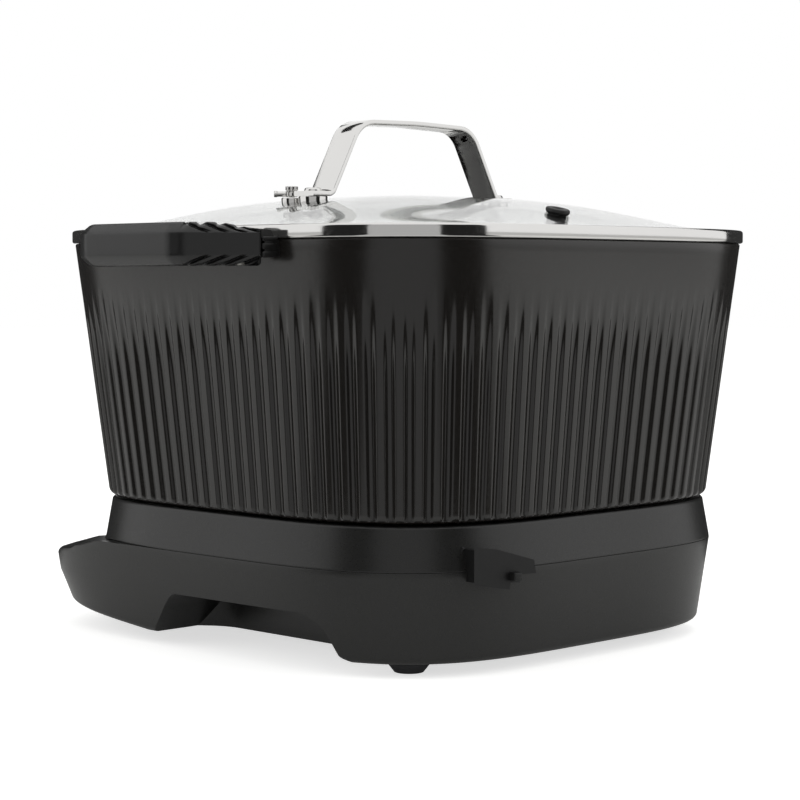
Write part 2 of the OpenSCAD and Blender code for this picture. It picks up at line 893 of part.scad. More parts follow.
// Wires from the element's ends down to the power board
module heater_leads() {
    color("#c9bfa4") on_axis()
    for (side = [-1, 1]) {
        x = side * element_r * cos(75);
        y = -element_r * sin(75);
        z = pan_z - lead_drop;
        translate([x, y, z]) cylinder(h = plate_z - plate_t - tail_l - z, r = lead_r);
        translate([x, y, z]) sphere(r = lead_r);
        translate([x, y, z]) rotate([90, 0, 0]) cylinder(h = y + lead_y, r = lead_r);
        translate([x, -lead_y, z]) sphere(r = lead_r);
        translate([x, -lead_y, board_z + board_t]) cylinder(h = z - board_z - board_t, r = lead_r);
    }
}
lead_r = 1.5;
lead_y = board_front - board_w + lead_r + 0.4;
lead_drop = 6;
post_inset = 9;
tail_l = 12;

// Pot: rings with one or four points a flute, joined into one closed surface
arc_steps = 720;
arc_table = [
    for (i = 0, run = 0; i <= arc_steps;
        run = run + norm(unit_point(360 * (i + 1) / arc_steps) - unit_point(360 * i / arc_steps)), i = i + 1)
        [run, 360 * i / arc_steps]
];
arc_length = arc_table[arc_steps][0];
function wall_point(f) = unit_point(lookup((f - floor(f)) * arc_length, arc_table));
flank_share = 0.08;
flute_marks = [0, rib_share, rib_share + flank_share, 1 - flank_share];
flute_offsets = [0, 0, flute_depth, flute_depth];
pot_slope = (pot_rim_half - pot_low_half) / pot_h;
function pot_half(z) = pot_low_half + pot_slope * z;

function plain_ring(half, z) = [
    for (j = [0:flutes - 1]) let (p = wall_point(j / flutes)) [half * p[0], half * p[1], z]
];
function fluted_ring(half, z, share = 1) = [
    for (j = [0:flutes - 1], q = [0:3])
        let (p = wall_point((j + flute_marks[q] - rib_share / 2) / flutes), r = half - share * flute_offsets[q])
        [r * p[0], r * p[1], z]
];
// Faces between two rings of equal count, the second one above or inside the first
function band_faces(a, b, count) = [
    for (j = [0:count - 1])
        let (k = (j + 1) % count)
        each [[a + j, b + j, b + k], [a + j, b + k, a + k]]
];
// Faces between a plain ring and a fluted one above it, and the other way round
function open_faces(plain, fluted) = [
    for (j = [0:flutes - 1])
        let (k = (j + 1) % flutes)
        each [
            for (q = [0:2]) [plain + j, fluted + 4 * j + q, fluted + 4 * j + q + 1],
            [plain + j, fluted + 4 * j + 3, plain + k],
            [fluted + 4 * j + 3, fluted + (4 * j + 4) % (4 * flutes), plain + k],
        ]
];
function close_faces(fluted, plain) = [
    for (j = [0:flutes - 1])
        let (k = (j + 1) % flutes)
        each [
            for (q = [0:2]) [fluted + 4 * j + q, plain + j, fluted + 4 * j + q + 1],
            [fluted + 4 * j + 3, plain + j, plain + k],
            [fluted + 4 * j + 3, plain + k, fluted + (4 * j + 4) % (4 * flutes)],
        ]
];

module cooking_pot() {
    low = pot_round;
    inner = pot_wall;
    n = flutes;
    points = concat(
        plain_ring(pot_half(0) - 0.75 * pot_round, 0),
        plain_ring(pot_half(0.3 * low) - 0.25 * pot_round, 0.3 * low),
        plain_ring(pot_half(low), low),
        fluted_ring(pot_half(low + flute_low), low + flute_low),
        fluted_ring(pot_half(flute_full), flute_full),
        fluted_ring(pot_half(flute_top), flute_top, 0),
        plain_ring(pot_half(pot_h), pot_h),
        plain_ring(pot_half(pot_h) - inner, pot_h),
        plain_ring(pot_half(flute_full) - inner - flute_depth, flute_full),
        plain_ring(pot_half(pot_floor + 3 * low) - inner - flute_depth, pot_floor + 3 * low),
        plain_ring(pot_half(pot_floor) - inner - 2 * low, pot_floor)
    );
    p3 = 3 * n;
    p4 = p3 + 4 * n;
    p5 = p4 + 4 * n;
    p6 = p5 + 4 * n;
    faces = concat(
        [[for (j = [0:n - 1]) j]],
        band_faces(0, n, n),
        band_faces(n, 2 * n, n),
        open_faces(2 * n, p3),
        band_faces(p3, p4, 4 * n),
        band_faces(p4, p5, 4 * n),
        close_faces(p5, p6),
        band_faces(p6, p6 + n, n),
        band_faces(p6 + n, p6 + 2 * n, n),
        band_faces(p6 + 2 * n, p6 + 3 * n, n),
        band_faces(p6 + 3 * n, p6 + 4 * n, n),
        [[for (j = [0:n - 1]) p6 + 5 * n - 1 - j]]
    );
    color(pot_black) on_axis() translate([0, 0, pot_z]) polyhedron(points = points, faces = faces);
}

module heat_spreader() {
    color("#b5b3ae") on_axis()
        translate([0, 0, pot_z - disc_t]) cylinder(h = disc_t, r = disc_r, $fn = 96);
}

// Side handle
root_x = band_half + root_gap;
handle_top = handle_mid_z + handle_h / 2;
bar_corner = 9;

module handle_plan(inset) {
    polygon([
        [root_x, -handle_root + inset],
        [handle_reach - bar_corner * 0.55, -handle_half - bar_corner + inset],
        [handle_reach - bar_corner * 0.16, -handle_half - bar_corner * 0.55 + inset * 0.7],
        [handle_reach, -handle_half],
        [handle_reach, handle_half],
        [handle_reach - bar_corner * 0.16, handle_half + bar_corner * 0.55 - inset * 0.7],
        [handle_reach - bar_corner * 0.55, handle_half + bar_corner - inset],
        [root_x, handle_root - inset],
    ]);
}

leg_t = 12;
ridge_step = 9;
ridge_depth = 0.9;
tongue_w = 7;
tongue_h = 5;
tongue_l = 6;
tongue_y = handle_root - 12;
lug_w = 15;
lug_h = 15;
screw_in = 3;
screw_head = 1.8;
screw_head_r = 1.6 * handle_screw_r;
screw_sunk = 0.3;

module handle_loop() {
    difference() {
        hull() {
            translate([0, 0, handle_mid_z - handle_flat / 2]) linear_extrude(handle_flat) handle_plan(0);
            translate([0, 0, handle_mid_z - handle_h / 2]) linear_extrude(handle_h) handle_plan(4.6);
        }
        // Gap for the fingers
        translate([0, 0, handle_mid_z - handle_h])
            linear_extrude(2 * handle_h)
                polygon([
                    [root_x - 1, -handle_root + leg_t + 4], [handle_reach - bar_t, -handle_half],
                    [handle_reach - bar_t, handle_half], [root_x - 1, handle_root - leg_t - 4],
                ]);
        // Slanted grooves across the flanks' upper and lower bevels
        for (side = [-1, 1], i = [0:2], up = [-1, 1])
            translate([handle_reach - 14 - i * ridge_step, side * (handle_half + 12 + i * 6.5),
                handle_mid_z + up * (handle_h / 2)])
                rotate([0, 0, side * -35])
                    rotate([0, up * 35, 0]) cube([1.8, 12, 2 * ridge_depth], center = true);
        tongues(fit);
        handle_screw_holes(handle_screw_r + 0.1);
    }
}

module tongues(gap) {
    for (side = [-1, 1])
        translate([root_x - 1, side * tongue_y - tongue_w / 2 - gap, handle_mid_z - tongue_h / 2 - gap])
            cube([tongue_l + 1 + gap, tongue_w + 2 * gap, tongue_h + 2 * gap]);
}

module handle_screw_holes(r) {
    for (side = [-1, 1])
        translate([root_x + screw_in, side * tongue_y, handle_mid_z - handle_h]) {
            cylinder(h = handle_h + tongue_h / 2, r = r);
            cylinder(h = handle_h / 2 + screw_sunk + screw_head, r = screw_head_r + fit);
        }
}

module both_handles(side) {
    on_axis() {
        if (side > 0) children();
        if (side < 0) mirror([1, 0, 0]) children();
    }
}

module right_handle() {
    color(pot_black) both_handles(1) handle_loop();
}

module left_handle() {
    color(pot_black) both_handles(-1) handle_loop();
}

module lugs() {
    difference() {
        union() {
            for (side = [-1, 1])
                translate([pot_rim_half - 8, side * (handle_root - lug_w / 2) - lug_w / 2,
                    handle_mid_z - 1 - lug_h / 2])
                    cube([root_x - pot_rim_half + 8 - fit, lug_w, lug_h]);
            tongues(0);
        }
        // Clear of the pot's wall, and of the band that stands out over it
        translate([0, 0, pot_z])
            loft([
                plain_ring(pot_half(flute_top - 20) + fit, flute_top - 20),
                plain_ring(pot_half(pot_h) + fit, pot_h - 0.3),
            ]);
        translate([0, 0, rim_z - 0.4])
            linear_extrude(far) polygon([for (p = square_outline(band_half + 0.7)) p]);
        handle_screw_holes(handle_screw_r + 0.1);
    }
}

module right_lugs() {
    color(pot_black) both_handles(1) lugs();
}

module left_lugs() {
    color(pot_black) both_handles(-1) lugs();
}

module handle_screw_set() {
    for (side = [-1, 1])
        translate([root_x + screw_in, side * tongue_y, handle_mid_z - handle_h / 2 + screw_sunk]) {
            cylinder(h = screw_head, r = screw_head_r);
            cylinder(h = handle_h / 2 + tongue_h / 2 - screw_sunk - 0.5, r = handle_screw_r);
        }
}

module pot_handle_screws() {
    color("#9a9a9a") {
        both_handles(1) handle_screw_set();
        both_handles(-1) handle_screw_set();
    }
}

// Height of the dome's upper face at a share of its half width
function dome_height(share) = glass_edge_z + dome_h * pow(1 - pow(share, 3), 2);
dome_shares = [1, 0.93, 0.84, 0.73, 0.61, 0.48, 0.33, 0.1];
function share_at(x, y) =
    pow(pow(abs(x) / glass_half, squareness) + pow(abs(y) / glass_half, squareness), 1 / squareness);

function dome_ring(share, drop) = lift(square_outline(glass_half * share, 64), dome_height(share) - drop);

// Solid under the dome's upper face, lowered by drop
module dome(drop, low) {
    loft(concat([lift(square_outline(glass_half, 64), low)], [for (share = dome_shares) dome_ring(share, drop)]));
}

module glass_holes() {
    for (side = [-1, 1])
        translate([side * strap_screw_x, 0, 0]) cylinder(h = far, r = strap_screw_r + 0.4);
    translate([valve_x, -valve_front, 0]) cylinder(h = far, r = valve_stem_r + 0.3);
    at_vent() translate([0, 0, -20]) cylinder(h = 40, r = vent_neck_r + 0.3);
}

strap_screw_x = strap_foot + 6;
valve_stem_r = 2.4;
vent_neck_r = 4.4;
vent_share = share_at(0, vent_back);
vent_tilt = atan(6 * dome_h * (1 - pow(vent_share, 3)) * pow(vent_share, 2) / glass_half);
module at_vent() {
    translate([0, vent_back, dome_height(share_at(0, vent_back))]) rotate([-vent_tilt, 0, 0]) children();
}

module lid_glass() {
    last = len(dome_shares) - 1;
    color([0.82, 0.86, 0.85, 0.4]) on_axis()
    difference() {
        loft(concat(
            [for (i = [0:last]) dome_ring(dome_shares[last - i], glass_t)],
            [for (i = [0:last]) dome_ring(dome_shares[i], 0)]
        ));
        glass_holes();
    }
}

module ring(outer, inner, z, h) {
    translate([0, 0, z])
        linear_extrude(h)
            difference() {
                polygon(square_outline(outer));
                polygon(square_outline(inner));
            }
}

module lid_band() {
    skirt = pot_rim_half - pot_wall - skirt_gap;
    color(steel) on_axis() {
        ring(band_half, band_half - band_t, band_z, band_h);
        ring(band_half - band_t / 2, band_half - band_lip, band_z + band_h - band_t, band_t);
        ring(band_half - band_t / 2, skirt - band_t, band_z, band_t);
        ring(skirt, skirt - band_t, band_z - skirt_h, skirt_h + band_t / 2);
    }
}

// Strap handle: a bent steel strip across the lid
foot_top = dome_height(share_at(strap_screw_x - washer_r, 0)) + washer_t + strap_t;
strap_z = dome_z + strap_h;
strap_crown = 1;
strap_corner_r = 15;
bend_r = 4;

// Arc of radius r that rounds the corner q between p and s
function corner_arc(p, q, s, r, steps) =
    let (u = (p - q) / norm(p - q), v = (s - q) / norm(s - q), w = (u + v) / norm(u + v),
        turn = acos(u * v) / 2, c = q + w * r / sin(turn),
        from = q + u * r / tan(turn) - c, to = q + v * r / tan(turn) - c,
        a = atan2(from[1], from[0]), b = atan2(to[1], to[0]) - a,
        sweep = b > 180 ? b - 360 : b < -180 ? b + 360 : b)
    [for (i = [0:steps]) c + r * [cos(a + sweep * i / steps), sin(a + sweep * i / steps)]];

// Middle line of the strap, from the right foot's end over the top to the left one
strap_tip = [strap_foot + strap_tab, foot_top - strap_t / 2];
strap_bend = [strap_foot, foot_top - strap_t / 2];
strap_knee = [strap_corner, strap_z - strap_t / 2 - strap_crown];
strap_mid = [0, strap_z - strap_t / 2 + 0.6 * strap_crown];
strap_right = concat(
    [strap_tip],
    corner_arc(strap_tip, strap_bend, strap_knee, bend_r, 5),
    corner_arc(strap_bend, strap_knee, strap_mid, strap_corner_r, 8),
    [[strap_top / 2, strap_z - strap_t / 2 - 0.12 * strap_crown]]
);
strap_line = concat(strap_right, [[0, strap_z - strap_t / 2]],
    [for (i = [len(strap_right) - 1:-1:0]) [-strap_right[i][0], strap_right[i][1]]]);
strap_normals = [
    for (i = [0:len(strap_line) - 1])
        let (d = strap_line[min(i + 1, len(strap_line) - 1)] - strap_line[max(i - 1, 0)])
        [d[1], -d[0]] / norm(d)
];
module lid_handle() {
    color(steel) on_axis()
    difference() {
        rotate([90, 0, 0])
            linear_extrude(strap_w, center = true)
                polygon(concat(
                    [for (i = [0:len(strap_line) - 1]) strap_line[i] + strap_normals[i] * strap_t / 2],
                    [for (i = [len(strap_line) - 1:-1:0]) strap_line[i] - strap_normals[i] * strap_t / 2]
                ));
        for (side = [-1, 1])
            translate([side * strap_screw_x, 0, foot_top - 10]) cylinder(h = 20, r = strap_screw_r + 0.1);
    }
}

module handle_washers() {
    color("#c9c9c4") on_axis()
    difference() {
        for (side = [-1, 1])
            translate([side * strap_screw_x, 0, foot_top - strap_t - washer_t - 3])
                cylinder(h = washer_t + 3, r = washer_r);
        dome(-0.05, glass_z);
        for (side = [-1, 1])
            translate([side * strap_screw_x, 0, glass_z]) cylinder(h = far, r = strap_screw_r + 0.1);
    }
}

module lid_screws() {
    under = dome_height(share_at(strap_screw_x + 6, 0)) - glass_t;
    color(steel) on_axis()
    for (side = [-1, 1])
        translate([side * strap_screw_x, 0, 0]) {
            translate([0, 0, foot_top]) cylinder(h = 1.6, r1 = strap_screw_r * 1.7, r2 = strap_screw_r * 1.2);
            translate([0, 0, under - 2]) cylinder(h = foot_top - under + 2, r = strap_screw_r);
            translate([0, 0, under - 2.8]) cylinder(h = 2.5, r = strap_screw_r * 2);
        }
}

module steam_vent() {
    color("#1d1d1d") on_axis() at_vent()
    difference() {
        union() {
            translate([0, 0, 0.2]) cylinder(h = vent_h, r1 = vent_r, r2 = vent_r - 0.6);
            translate([0, 0, -glass_t - 0.5]) cylinder(h = glass_t + 1, r = vent_neck_r);
            translate([0, 0, -glass_t - 2.2]) cylinder(h = 1.8, r = vent_r);
        }
        translate([0, 0, -20]) cylinder(h = 40, r = vent_hole_r);
    }
}

valve_z = dome_height(share_at(valve_x - valve_flange_r, valve_front)) + 0.1;
valve_pin_r = 1.4;
module at_valve() {
    on_axis() translate([valve_x, -valve_front, valve_z]) children();
}

module valve_seat() {
    color(steel) {
        difference() {
            at_valve() translate([0, 0, -3]) cylinder(h = 4.1, r = valve_flange_r);
            on_axis() dome(-0.05, glass_z);
        }
        at_valve() {
            translate([0, 0, -glass_t - 6]) cylinder(h = glass_t + 6.5, r = valve_stem_r);
            cylinder(h = 1.1 + valve_cap_h - 2, r = valve_pin_r);
        }
    }
}

module valve_nut() {
    under = dome_height(share_at(valve_x + valve_flange_r, valve_front)) - glass_t;
    color(steel) on_axis()
    difference() {
        translate([valve_x, -valve_front, under - 3]) cylinder(h = 2.6, r = valve_flange_r - 0.4, $fn = 6);
        translate([valve_x, -valve_front, under - 4]) cylinder(h = 6, r = valve_stem_r + 0.05);
    }
}

lever_turn = 315;
module valve_cap() {
    color(steel) at_valve()
    translate([0, 0, 1.4])
    difference() {
        union() {
            cylinder(h = valve_cap_h, r = valve_cap_r);
            rotate([0, 0, lever_turn]) translate([0, 0, lever_r + 0.2])
                rotate([0, 90, 0]) cylinder(h = lever_reach, r = lever_r);
            rotate([0, 0, lever_turn]) translate([lever_reach - 1.4, 0, lever_r + 0.2])
                rotate([0, 90, 0]) cylinder(h = 1.4, r = lever_r + 0.25);
        }
        translate([0, 0, -1]) cylinder(h = valve_cap_h, r = valve_pin_r + 0.06);
    }
}

upper_housing();
lower_housing();
bottom_cover();
rubber_feet();
base_screws();
control_panel();
display_window();
display_module();
control_board();
dial_encoder();
cord_inlet();
terminal_block();
power_board();
relay();
transformer();
heater_leads();
heating_plate();
heating_element();
heat_reflector();
plate_posts();
thermal_fuse();
sensor_guide();
sensor_spring();
temperature_sensor();
dial_knob();
dial_shaft();
power_button();
mode_button();
timer_button();
start_button();
cooking_pot();
heat_spreader();
right_handle();
left_handle();
right_lugs();
left_lugs();
pot_handle_screws();
lid_glass();
lid_band();
lid_handle();
handle_washers();
lid_screws();
steam_vent();
valve_seat();
valve_nut();
valve_cap();
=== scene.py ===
"""Multicooker: a square fluted pot with loop handles and a domed glass lid, on a low heated base.

Lengths are millimetres from the pot's axis, and become metres when a mesh is made.
"""
import json
import math

import bpy
import numpy as np
from mathutils import Matrix, Vector


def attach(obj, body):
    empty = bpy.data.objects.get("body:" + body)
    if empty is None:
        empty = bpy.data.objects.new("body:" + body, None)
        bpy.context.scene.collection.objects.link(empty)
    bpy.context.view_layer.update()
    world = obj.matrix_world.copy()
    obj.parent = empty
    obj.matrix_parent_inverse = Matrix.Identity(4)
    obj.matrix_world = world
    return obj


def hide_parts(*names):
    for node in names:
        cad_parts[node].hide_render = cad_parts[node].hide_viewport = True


# ---- camera
PHOTO_WIDTH = 800
FOCAL, SENSOR = 2170.0, 36                # focal length in pixels, sensor width in mm
AZIMUTH, PITCH, PAN = math.radians(134.7), 0.054, -0.0035
CAMERA_FAR, CAMERA_UP, MIDDLE_Y = 1.0828, 0.1729, 0.0125     # metres


def put(name, data):
    """A new object of the scene."""
    obj = bpy.data.objects.new(name, data)
    bpy.context.scene.collection.objects.link(obj)
    return obj


def make_camera():
    """Camera fitted to the photograph: 1.08 m away, level with the pot's upper half, behind the right side."""
    back = Vector((math.sin(AZIMUTH), -math.cos(AZIMUTH), 0))
    side = Vector((math.cos(AZIMUTH), math.sin(AZIMUTH), 0))
    up = Vector((0, 0, 1))
    ahead = -back * math.cos(PAN) + side * math.sin(PAN)
    right = side * math.cos(PAN) + back * math.sin(PAN)
    look = ahead * math.cos(PITCH) - up * math.sin(PITCH)
    top = up * math.cos(PITCH) + ahead * math.sin(PITCH)
    data = bpy.data.cameras.new("camera")
    data.sensor_width = SENSOR
    data.lens = FOCAL * SENSOR / PHOTO_WIDTH
    camera = put("camera", data)
    matrix = Matrix((right, top, -look)).transposed().to_4x4()
    matrix.translation = Vector((0, MIDDLE_Y, 0)) + back * CAMERA_FAR + up * CAMERA_UP
    camera.matrix_world = matrix
    bpy.context.scene.camera = camera
    return back, side


BACK, SIDE = make_camera()
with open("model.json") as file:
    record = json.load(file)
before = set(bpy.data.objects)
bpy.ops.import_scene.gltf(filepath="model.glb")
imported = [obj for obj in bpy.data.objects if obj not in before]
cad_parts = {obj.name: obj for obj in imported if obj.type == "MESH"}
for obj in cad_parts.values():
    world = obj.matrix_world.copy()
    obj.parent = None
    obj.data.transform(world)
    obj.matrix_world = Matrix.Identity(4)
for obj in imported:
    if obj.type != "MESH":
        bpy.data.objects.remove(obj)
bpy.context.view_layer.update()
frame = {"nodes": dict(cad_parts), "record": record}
nodes = frame["nodes"]

# ---- sizes, mm
POT_Y = 12.5
SQUARENESS = 3.8          # power of the rounded square that every plan follows
SHARP = 32                # degrees over which an edge stays crisp
BASE_Z, CREASE_Z, TOP_Z = 6.0, 47.2, 67.2
CREASE_HALF, BASE_TOP_HALF, BASE_LOW_HALF = 127.8, 125.0, 123.0
BOTTOM_ROUND, TOP_ROUND, SHELL, GAP = 3.5, 1.6, 2.6, 0.3
WELL_R, WELL_DEEP = 90.0, 12
NOSE_REACH, NOSE_LOW_REACH, NOSE_BOW, NOSE_POWER = 166.0, 156.5, 12.5, 6.0
NOSE_RISE, RISE_START, RISE_RUN, TIP_ROUND = 4.8, 56.0, 60.0, 2.2
PANEL_TILT, PANEL_FRONT, PANEL_DROP = math.radians(16.5), 146.0, 11.0
PANEL_HALF, PANEL_T, PANEL_RIM = 102.0, 2.4, 3.2
GRIP_FRONT, GRIP_BACK, GRIP_H, GRIP_INNER = 50.0, 85.0, 20.5, 86.0
POT_Z, POT_H, POT_LOW_HALF, POT_RIM_HALF = 68.0, 124.0, 126.0, 139.8
POT_WALL, POT_FLOOR = 3.2, 4.0
FLUTES, FLUTE_DEPTH, FLUTE_FULL, FLUTE_TOP = 108, 1.5, 60.0, 104.0
RIM_Z = POT_Z + POT_H
BAND_HALF, BAND_Z = 141.0, RIM_Z + 0.2
GLASS_HALF, GLASS_T, DOME_H = 139.8, 3.8, 18.0
EDGE_Z = BAND_Z + 1.2 + GLASS_T
DOME_Z = EDGE_Z + DOME_H
HANDLE_REACH, HANDLE_HALF, HANDLE_ROOT, HANDLE_H = 177.0, 29.0, 59.0, 19.0
ROOT_X = BAND_HALF + 7.0
HANDLE_Z = RIM_Z + 7.2 - HANDLE_H / 2
SCREW_X, VALVE_X, VALVE_Y, VENT_Y = 64.0, 65.0, -14.0, 98.0


def crease(y):
    """Height of the seam at y: level behind, and on the slope of the control panel in front."""
    slope = CREASE_Z - PANEL_DROP + (np.asarray(y) + PANEL_FRONT) * math.tan(PANEL_TILT)
    return np.minimum(CREASE_Z, slope)


def dome_height(share):
    """Upper face of the glass: edge + height (1 - share^3)^2, share being 0 on the axis and 1 at the edge."""
    return EDGE_Z + DOME_H * (1 - np.asarray(share) ** 3) ** 2


def share_at(x, y):
    """Share of the way from the axis to the glass's edge: (|x/h|^p + |y/h|^p)^(1/p)."""
    return (abs(x / GLASS_HALF) ** SQUARENESS + abs(y / GLASS_HALF) ** SQUARENESS) ** (1 / SQUARENESS)


def dome_at(x, y):
    """Height of the glass's upper face over a point of the plan."""
    return float(dome_height(share_at(x, y)))


# ---- outlines
def smooth(x, low, high):
    """3t^2 - 2t^3 with t running from 0 at low to 1 at high."""
    t = np.clip((np.asarray(x, float) - low) / (high - low), 0, 1)
    return t * t * (3 - 2 * t)


def walked(points):
    """Length walked from the first point to each."""
    return np.concatenate([[0], np.cumsum(np.linalg.norm(np.diff(points, axis=0), axis=1))])


def rectangle(x0, y0, x1, y1):
    """Its corners, anticlockwise."""
    return [[x0, y0], [x1, y0], [x1, y1], [x0, y1]]


def even(points_at, count):
    """Parameters t in degrees that walk points_at(t) in steps of equal length, once round."""
    t = np.linspace(0, 360, 7201)
    run = walked(points_at(t))
    return np.interp(np.arange(count) * run[-1] / count, run, t)


def superellipse(t, power=SQUARENESS):
    """Rounded square of unit half width: x = sgn(cos t)|cos t|^(2/p), y = sgn(sin t)|sin t|^(2/p)."""
    c, s = np.cos(np.radians(t)), np.sin(np.radians(t))
    return np.stack([np.sign(c) * abs(c) ** (2 / power), np.sign(s) * abs(s) ** (2 / power)], 1)


def nose_outline(t, half, front):
    """Plan of the lower shell: a rounded square behind; in front
    x = h |cos|^(2/n), y = -(f - b)|sin|^(2/n) - b(1 - |cos|^(4/n))."""
    c, s = np.cos(np.radians(t)), np.sin(np.radians(t))
    n = np.where(s < 0, NOSE_POWER, SQUARENESS)
    x = half * np.sign(c) * abs(c) ** (2 / n)
    front_y = -(front - NOSE_BOW) * abs(s) ** (2 / n) - NOSE_BOW * (1 - abs(c) ** (4 / n))
    return np.stack([x, np.where(s < 0, front_y, half * abs(s) ** (2 / n))], 1)


def square(count):
    """The rounded square with its points at equal steps."""
    return superellipse(even(superellipse, count))


def rows_at(plan, half, z):
    """Rings of a unit plan, scaled to each half width and lifted to each height."""
    half, z = np.broadcast_arrays(np.asarray(half, float), np.asarray(z, float))
    flat = half[:, None, None] * plan[None]
    return np.concatenate([flat, np.broadcast_to(z[:, None, None], flat.shape[:2] + (1,))], 2)


def lifted(plan, z):
    """Plan points (x, y) at the height z, one for all or one for each."""
    return np.column_stack([plan, np.broadcast_to(z, len(plan))])


def profile(*parts):
    """Single points and arcs, joined into one outline."""
    return np.concatenate([np.atleast_2d(part) for part in parts])


def arc(x, z, r, start, end, steps=5):
    """Points of a round between two angles, as x and z columns."""
    a = np.radians(np.linspace(start, end, steps))
    return np.stack([x + r * np.cos(a), z + r * np.sin(a)], 1)


def rounded(corners, radii, steps=6):
    """Polygon with each corner replaced by an arc that touches both its sides."""
    corners = np.asarray(corners, float)
    count = len(corners)
    radii = np.broadcast_to(radii, count)
    found = []
    for i in range(count):
        before, at, after = corners[i - 1], corners[i], corners[(i + 1) % count]
        u, v = (before - at), (after - at)
        lu, lv = np.linalg.norm(u), np.linalg.norm(v)
        u, v = u / lu, v / lv
        turn = math.acos(np.clip(u @ v, -1, 1)) / 2
        if radii[i] <= 0 or turn > math.radians(89):
            found.append(at[None])
            continue
        reach = min(radii[i] / math.tan(turn), 0.49 * lu, 0.49 * lv)
        r = reach * math.tan(turn)
        centre = at + (u + v) / np.linalg.norm(u + v) * r / math.sin(turn)
        a0, a1 = (math.atan2(*(p - centre)[::-1]) for p in (at + u * reach, at + v * reach))
        sweep = (a1 - a0 + math.pi) % (2 * math.pi) - math.pi
        a = a0 + sweep * np.linspace(0, 1, steps)
        found.append(centre + r * np.stack([np.cos(a), np.sin(a)], 1))
    return np.concatenate(found)


def resample(points, step):
    """Closed polygon with extra points, none further apart than step."""
    found = []
    for a, b in zip(points, np.roll(points, -1, 0)):
        pieces = max(1, int(math.ceil(np.linalg.norm(b - a) / step)))
        found.append(a + (b - a) * (np.arange(pieces) / pieces)[:, None])
    return np.concatenate(found)


def outward(points):
    """Mitred outward direction at each corner of a polygon that runs anticlockwise."""
    d = np.roll(points, -1, 0) - points
    d /= np.linalg.norm(d, axis=1)[:, None]
    n = np.stack([d[:, 1], -d[:, 0]], 1)
    m = n + np.roll(n, 1, 0)
    m /= np.linalg.norm(m, axis=1)[:, None]
    return m / np.clip((m * n).sum(1), 0.5, 1)[:, None]


# ---- meshes
def from_axis(v):
    """From mm off the pot's axis to the frame's metres."""
    return (np.asarray(v, float) + [0, POT_Y, 0]) * 0.001


def on_panel(v):
    """From the panel's own frame, whose Z leaves its face and whose Y climbs it, to the pot's axis."""
    v = np.asarray(v, float)
    c, s = math.cos(PANEL_TILT), math.sin(PANEL_TILT)
    y, z = v[..., 1], v[..., 2]
    return np.stack([v[..., 0], -PANEL_FRONT + y * c - z * s, CREASE_Z - PANEL_DROP + y * s + z * c], -1)


def make_mesh(name, parts, sharp=SHARP):
    """One object of (points, faces) pairs in mm. A part whose enclosed volume, the sum of a . (b x c) over its
    faces, comes out below nought is turned inside out, so that every face looks outward."""
    points, faces, start = [], [], 0
    for v, f in parts:
        v = np.asarray(v, float)
        volume = 0.0
        for face in f:
            p = v[np.atleast_2d(face)] - v[0]
            volume += np.einsum("ij,ikj->", p[:, 0], np.cross(p[:, 1:-1], p[:, 2:]))
        for face in f:
            face = np.atleast_2d(face)
            faces += ((face if volume >= 0 else face[:, ::-1]) + start).tolist()
        points.append(v)
        start += len(v)
    mesh = bpy.data.meshes.new(name)
    mesh.from_pydata(from_axis(np.concatenate(points)), [], faces)
    mesh.validate()
    mesh.shade_smooth()
    mesh.set_sharp_from_angle(angle=math.radians(sharp))
    return put(name, mesh)


def skin(rows, ends="fan"):
    """Quads between rings of equal count. ends: fan closes them with a pole, flat with one face,
    ring joins the last to the first, open leaves them open."""
    rows = np.asarray(rows, float)
    m, n = rows.shape[:2]
    i, j = np.meshgrid(np.arange(m if ends == "ring" else m - 1), np.arange(n), indexing="ij")
    a, b = i * n + j, i * n + (j + 1) % n
    c, d = ((i + 1) % m) * n + (j + 1) % n, ((i + 1) % m) * n + j
    faces = [np.stack([a, b, c, d], -1).reshape(-1, 4)]
    v = rows.reshape(-1, 3)
    if ends == "fan":
        v = np.concatenate([v, rows[0].mean(0)[None], rows[-1].mean(0)[None]])
        j = np.arange(n)
        faces.append(np.stack([j, np.full(n, m * n), (j + 1) % n], 1))
        faces.append(np.stack([(m - 1) * n + j, (m - 1) * n + (j + 1) % n, np.full(n, m * n + 1)], 1))
    if ends == "flat":
        faces.append(np.arange(n)[::-1][None])
        faces.append((m - 1) * n + np.arange(n)[None])
    return v, faces


def turned(outline, count=64, teeth=0, depth=0.0, toothed=(0, 0)):
    """Rings of an outline (radius, z) about Z; between the toothed heights the radius dips teeth times a turn:
    r - depth ((1 - cos(teeth a)) / 2)^2."""
    outline = np.asarray(outline, float)
    a = np.linspace(0, 2 * math.pi, count, endpoint=False)
    r = np.repeat(outline[:, :1], count, 1)
    if teeth:
        inside = (outline[:, 1] > toothed[0]) & (outline[:, 1] < toothed[1]) & (outline[:, 0] > 1.5)
        r = r - np.where(inside[:, None], depth * (0.5 - 0.5 * np.cos(teeth * a)) ** 2, 0)
    return np.stack([r * np.cos(a), r * np.sin(a), np.repeat(outline[:, 1:], count, 1)], 2)


def slab(outline, low, high, r=0.4, steps=4, ends="flat"):
    """A flat piece of any outline whose upper and lower edges are rounded to r."""
    out = outward(outline)
    a = np.radians(np.linspace(0, 90, steps))
    inset = np.concatenate([r * (1 - np.sin(a)), r * (1 - np.sin(a[::-1]))])
    z = np.concatenate([low + r * (1 - np.cos(a)), high - r * (1 - np.cos(a[::-1]))])
    flat = outline[None] - inset[:, None, None] * out[None]
    return skin(np.concatenate([flat, np.broadcast_to(z[:, None, None], flat.shape[:2] + (1,))], 2), ends)


def moved(part, shift, turn=None):
    """A part turned about the origin, then shifted."""
    v, f = part
    if turn is not None:
        v = v @ np.array(turn.to_3x3()).T
    return v + np.asarray(shift, float), f


